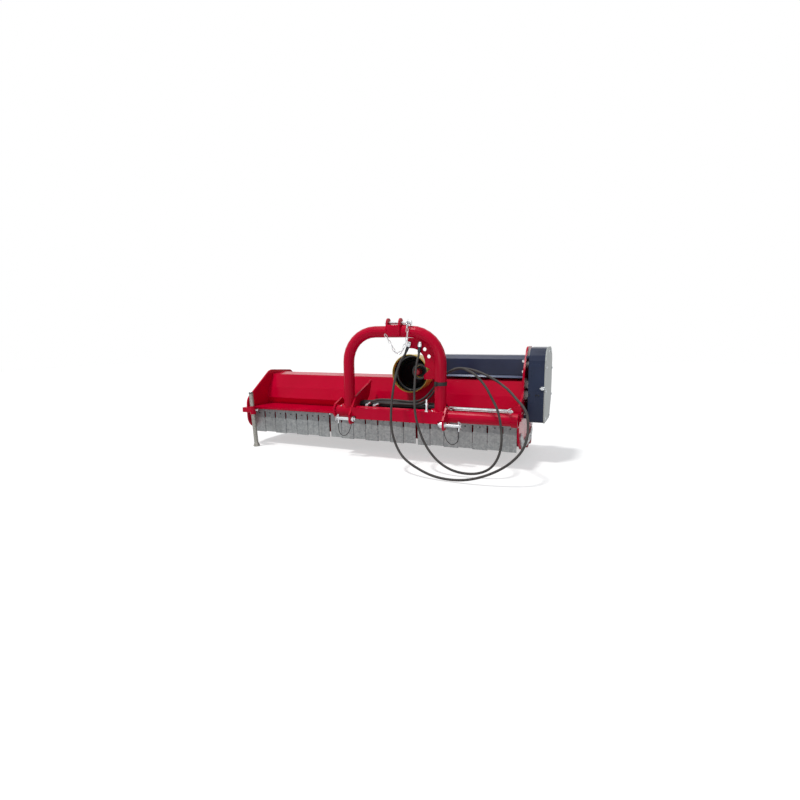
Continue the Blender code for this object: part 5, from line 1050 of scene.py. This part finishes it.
# The leg leans about the middle of its socket.
STAND_MIDDLE = (0.244 + 0.305) / 2
STAND_TOP = 0.401
lean = (STAND_TOP - STAND_MIDDLE) * math.tan(STAND_LEAN)
plug = begin(bpy.ops.mesh.primitive_cylinder_add, vertices=24, radius=0.0172, depth=0.006,
             location=(0, 0, 0.0032))
pick(UP)
terrace((0.003, 0.0035), (0.005, -0.0012))
bake(plug)
plug_place = place(0.078 - HALF - lean, -0.126, STAND_TOP)
plug.matrix_world = Matrix.Translation(plug_place) @ Matrix.Rotation(-STAND_LEAN, 4, "Y")
settle(plug, "stand_plug", liner_plastic, "stand", smooth=35)

# %% [markdown]
# Some flat pieces close gaps or stiffen sheet: a plate between the ears of the top link, a near-black
# sheet behind the cover of the cross shaft, which is painted shade for the gap under the cover, a drip lip
# under its front, ribs pressed up on the rear hood, and an angle that scrapes the roller. Each starts as a
# box of its size and gets its folds, tapers and soft edges in edit mode. They could be solids, but they
# are thin and fixed to what carries them.

# %% Plate between the ears of the top link
def plate(low, high):
    """A box between two corners of the drawing, left in edit mode with its place in its mesh."""
    low, high = place(*low), place(*high)
    return block((low + high) / 2, high - low, placed=True)


ear_plate = plate((TOP_X - 0.0382, -0.1670, 0.8240), (TOP_X + 0.0382, -0.1610, 0.8900))
pick(UP)
extrude(0, 0.006, 0.006)
soften(0.0012)
settle(ear_plate, "top_link_plate", red_enamel, "carriage", smooth=35)

# %% Painted shade: a near-black sheet behind the cover
COVER_LEFT = PTO_X + GEARBOX_HALF_WIDTH + 0.033
SHADE_FILL_LOW = 0.5000
# A near-black sheet in the gap behind the cover: painted shade for that gap.
shade_fill = plate((COVER_LEFT + 0.002, 0.3850, SHADE_FILL_LOW), (HALF - 0.0005, 0.3900, 0.5900))
pick(DOWN)
extrude(0, 0, -0.004)
pick(FRONT, where=lambda middle: middle.z < SHADE_FILL_LOW)
extrude(0, -0.100, 0)
soften(0.0008)
settle(shade_fill, "cover_shade_fill_sheet", case_iron, "frame", smooth=35)

# %% Drip lip under the front of the cover
lip = plate((COVER_LEFT + 0.003, 0.2285, 0.5430), (HALF - 0.003, 0.2370, 0.5455))
pick(BACK)
bpy.ops.transform.translate(value=(0, 0, 0.0110))
pick(FRONT)
extrude(0, -0.0020, -0.0025)
soften(0.0006)
# The lip's pale slate is a painted highlight.
settle(lip, "cover_drip_lip", lip_lit_powder, "frame", smooth=35)

# %% Ribs of the rear hood
RIB_BACK = 0.5620
ribs = []
for x in (-0.68, -0.34, 0.0, 0.34, 0.68):
    rib = plate((x - 0.020, 0.5535, 0.2200), (x + 0.020, RIB_BACK, 0.3760))
    pick(DOWN)
    bpy.ops.transform.translate(value=(0, 0.0250, 0))
    pick(BACK)
    bpy.ops.mesh.inset(thickness=0.006)
    bpy.ops.transform.resize(value=(0.8, 1, 0.94), center_override=place(x, RIB_BACK, 0.3010))
    extrude(0, 0.005, 0.001)
    soften(0.0015)
    ribs.append(rib)
settle(join(ribs), "rear_hood_ribs", red_enamel, "rear_hood", smooth=35)

# %% Scraper of the roller
SCRAPER_FRONT = 0.4800
scraper = plate((-0.9900, SCRAPER_FRONT, 0.1440), (0.9900, 0.5150, 0.1480))
pick(FRONT)
extrude(0, -0.004, 0)
pick(UP, where=lambda middle: middle.y < SCRAPER_FRONT + DATUM.y)
extrude(0, 0, 0.030)
soften(0.0008)
settle(scraper, "roller_scraper", rotor_steel, "frame", smooth=35)

# %% [markdown]
# Welds show under the enamel as raised beads with a ripple from each pool of metal. A bead is a bevelled
# curve whose points are thick and thin in turn, laid along the line where two pieces meet, turned to a
# mesh and painted with the rest.

# %% Helpers for weld beads
RIPPLE = 0.0035
RIPPLE_WAIST = 0.74


def bead(points, closed=False, size=0.0030):
    """A rippled bead along a line of the drawing."""
    line = [place(*p) for p in points]
    even = [line[0]]
    for a, b in zip(line, line[1:] + ([line[0]] if closed else [])):
        steps = max(1, round((b - a).length / RIPPLE))
        even += [a.lerp(b, k / steps) for k in range(1, steps + 1)]
    if closed:
        even.pop()
    weld = round_cord("bead", even, size, 1)
    for i, point in enumerate(weld.data.splines[0].points):
        point.radius = size if i % 2 else RIPPLE_WAIST * size
    weld.data.splines[0].use_cyclic_u = closed
    return wire_to_mesh(weld)


def round_slide(x, radius):
    """A closed line round the slide tube at one place along it."""
    ring = [on_circle(radius, a) for a in range(0, 360, 9)]
    return [(x, SLIDE_Y + across, SLIDE_Z + up) for across, up in ring]


# %% Weld beads of the carriage
SADDLE_BEAD = 0.0036
PLATE_BEND = 0.203
PLATE_RADIUS = 0.1655
beads = []
for leg in (LEG_LEFT, LEG_RIGHT):
    saddle = []
    for a in range(0, 360, 9):
        along, across = on_circle(LEG_RADIUS, a)
        rise = math.sqrt(SLEEVE_RADIUS ** 2 - across ** 2) + 0.001
        saddle.append((leg + along, SLIDE_Y + across, SLIDE_Z + rise))
    beads.append(bead(saddle, True, SADDLE_BEAD))
for x in (EAR_LEFT, EAR_LEFT + EAR_THICK, EAR_RIGHT, EAR_RIGHT + EAR_THICK):
    beads.append(bead(round_slide(x, SLEEVE_RADIUS), True))
for x in (EAR_LEFT + EAR_THICK, EAR_RIGHT):
    beads.append(bead([(x, BEAM_FRONT, BEAM_LOW + 0.022), (x, BEAM_FRONT, BEAM_HIGH),
                       (x, BEAM_BACK, BEAM_HIGH)]))
plate_arc = []
for a in range(84, 2, -3):
    along, rise = on_circle(PLATE_RADIUS, a)
    plate_arc.append((LEG_RIGHT - PLATE_BEND + along, SLIDE_Y + 0.0025, ARCH_TOP - PLATE_BEND + rise))
beads.append(bead(plate_arc))
for turn in (222, 100):
    across, rise = on_circle(LEG_RADIUS + 0.004, turn)
    y, z = SLIDE_Y + across, ARCH_TOP + rise
    beads.append(bead([(TOP_X - 0.060, y, z), (TOP_X + 0.093, y, z)]))
settle(join(beads), "carriage_welds", red_enamel, "carriage", smooth=60)

# %% Weld beads of the slide tube
# A bead runs round the tube where it leaves each of its two brackets.
SLIDE_WELDS_X = (-0.225 + 0.014, 1.035 - 0.038)
SLIDE_WELD_RADIUS = 0.0380
beads = [bead(round_slide(x, SLIDE_WELD_RADIUS), True) for x in SLIDE_WELDS_X]
settle(join(beads), "slide_welds", red_enamel, "frame", smooth=60)

# %% [markdown]
# The floor is a plain pale sheet, larger than anything the camera sees. A soft sky and two suns light the
# machine at a level where a colour renders as it is written: a high one gives the shadows, and a low,
# very soft one lifts the front. The background is white for rays from the camera and for rays that were
# mirrored or let through, so metal shows it too, and it adds no other light.

# %% Floor
FLOOR_HALF = 12.0
FLOOR_Z = -0.0005
FLOOR_GLOW = 0.52


def seen_rays(tree):
    """Gives one for rays that see the background: straight from the camera, mirrored or let through."""
    rays = add_node(tree, "LightPath")
    both = add_node(tree, "Math", {0: rays.outputs["Is Camera Ray"], 1: rays.outputs["Is Glossy Ray"]},
                    {"operation": "MAXIMUM"})
    return add_node(tree, "Math", {0: both, 1: rays.outputs["Is Transmission Ray"]},
                    {"operation": "MAXIMUM"})


bpy.ops.object.select_all(action="DESELECT")
bpy.ops.mesh.primitive_plane_add(size=2 * FLOOR_HALF, location=(0, 0, FLOOR_Z))
floor = bpy.context.object
floor.name = "floor"
floor_paint, tree, shader, coords = new_finish("pale_floor", Roughness=0.9, Specular_IOR_Level=0.1)
# The grey drifts over 1.2 m.
_, pale = two_tones(tree, coords, 0.8, 3.0, (0.3, "#C6C6C4"), (0.7, "#CECECC"))
link(pale, shader.inputs["Base Color"])
shader.inputs["Emission Color"].default_value = linear("#FFFFFF")
glow = add_node(tree, "MapRange", {"Value": seen_rays(tree), "To Min": 0.0, "To Max": FLOOR_GLOW})
link(glow, shader.inputs["Emission Strength"])
floor.data.materials.append(floor_paint)

# %% Sky and suns
SKY_STRENGTH = 0.36
WHITE_STRENGTH = 1.0
world = bpy.data.worlds.new("sky")
bpy.context.scene.world = world
world.use_nodes = True
sky = world.node_tree
background = sky.nodes["Background"]
tint = add_node(sky, "Mix", {0: seen_rays(sky), 6: linear("#E9EFFA"), 7: linear("#FFFFFF")},
                {"data_type": "RGBA"})
strength = add_node(sky, "MapRange",
                    {"Value": seen_rays(sky), "To Min": SKY_STRENGTH, "To Max": WHITE_STRENGTH})
link(tint, background.inputs["Color"])
link(strength, background.inputs["Strength"])


def sun(name, towards, strength, softness):
    """A sun that shines along a direction, with the softness of its shadows in degrees."""
    light = bpy.data.lights.new(name, "SUN")
    light.energy = strength
    light.angle = math.radians(softness)
    holder = bpy.data.objects.new(name, light)
    bpy.context.collection.objects.link(holder)
    holder.rotation_euler = Vector(towards).to_track_quat("-Z", "Y").to_euler()
    print(f"{name}: strength {strength}, {softness} degrees wide")


sun("key_sun", (0.26, 0.30, -1.0), 2.05, 7.0)
sun("fill_sun", (-0.25, 0.95, -0.02), 0.50, 30.0)
bpy.context.scene.view_settings.view_transform = "Standard"
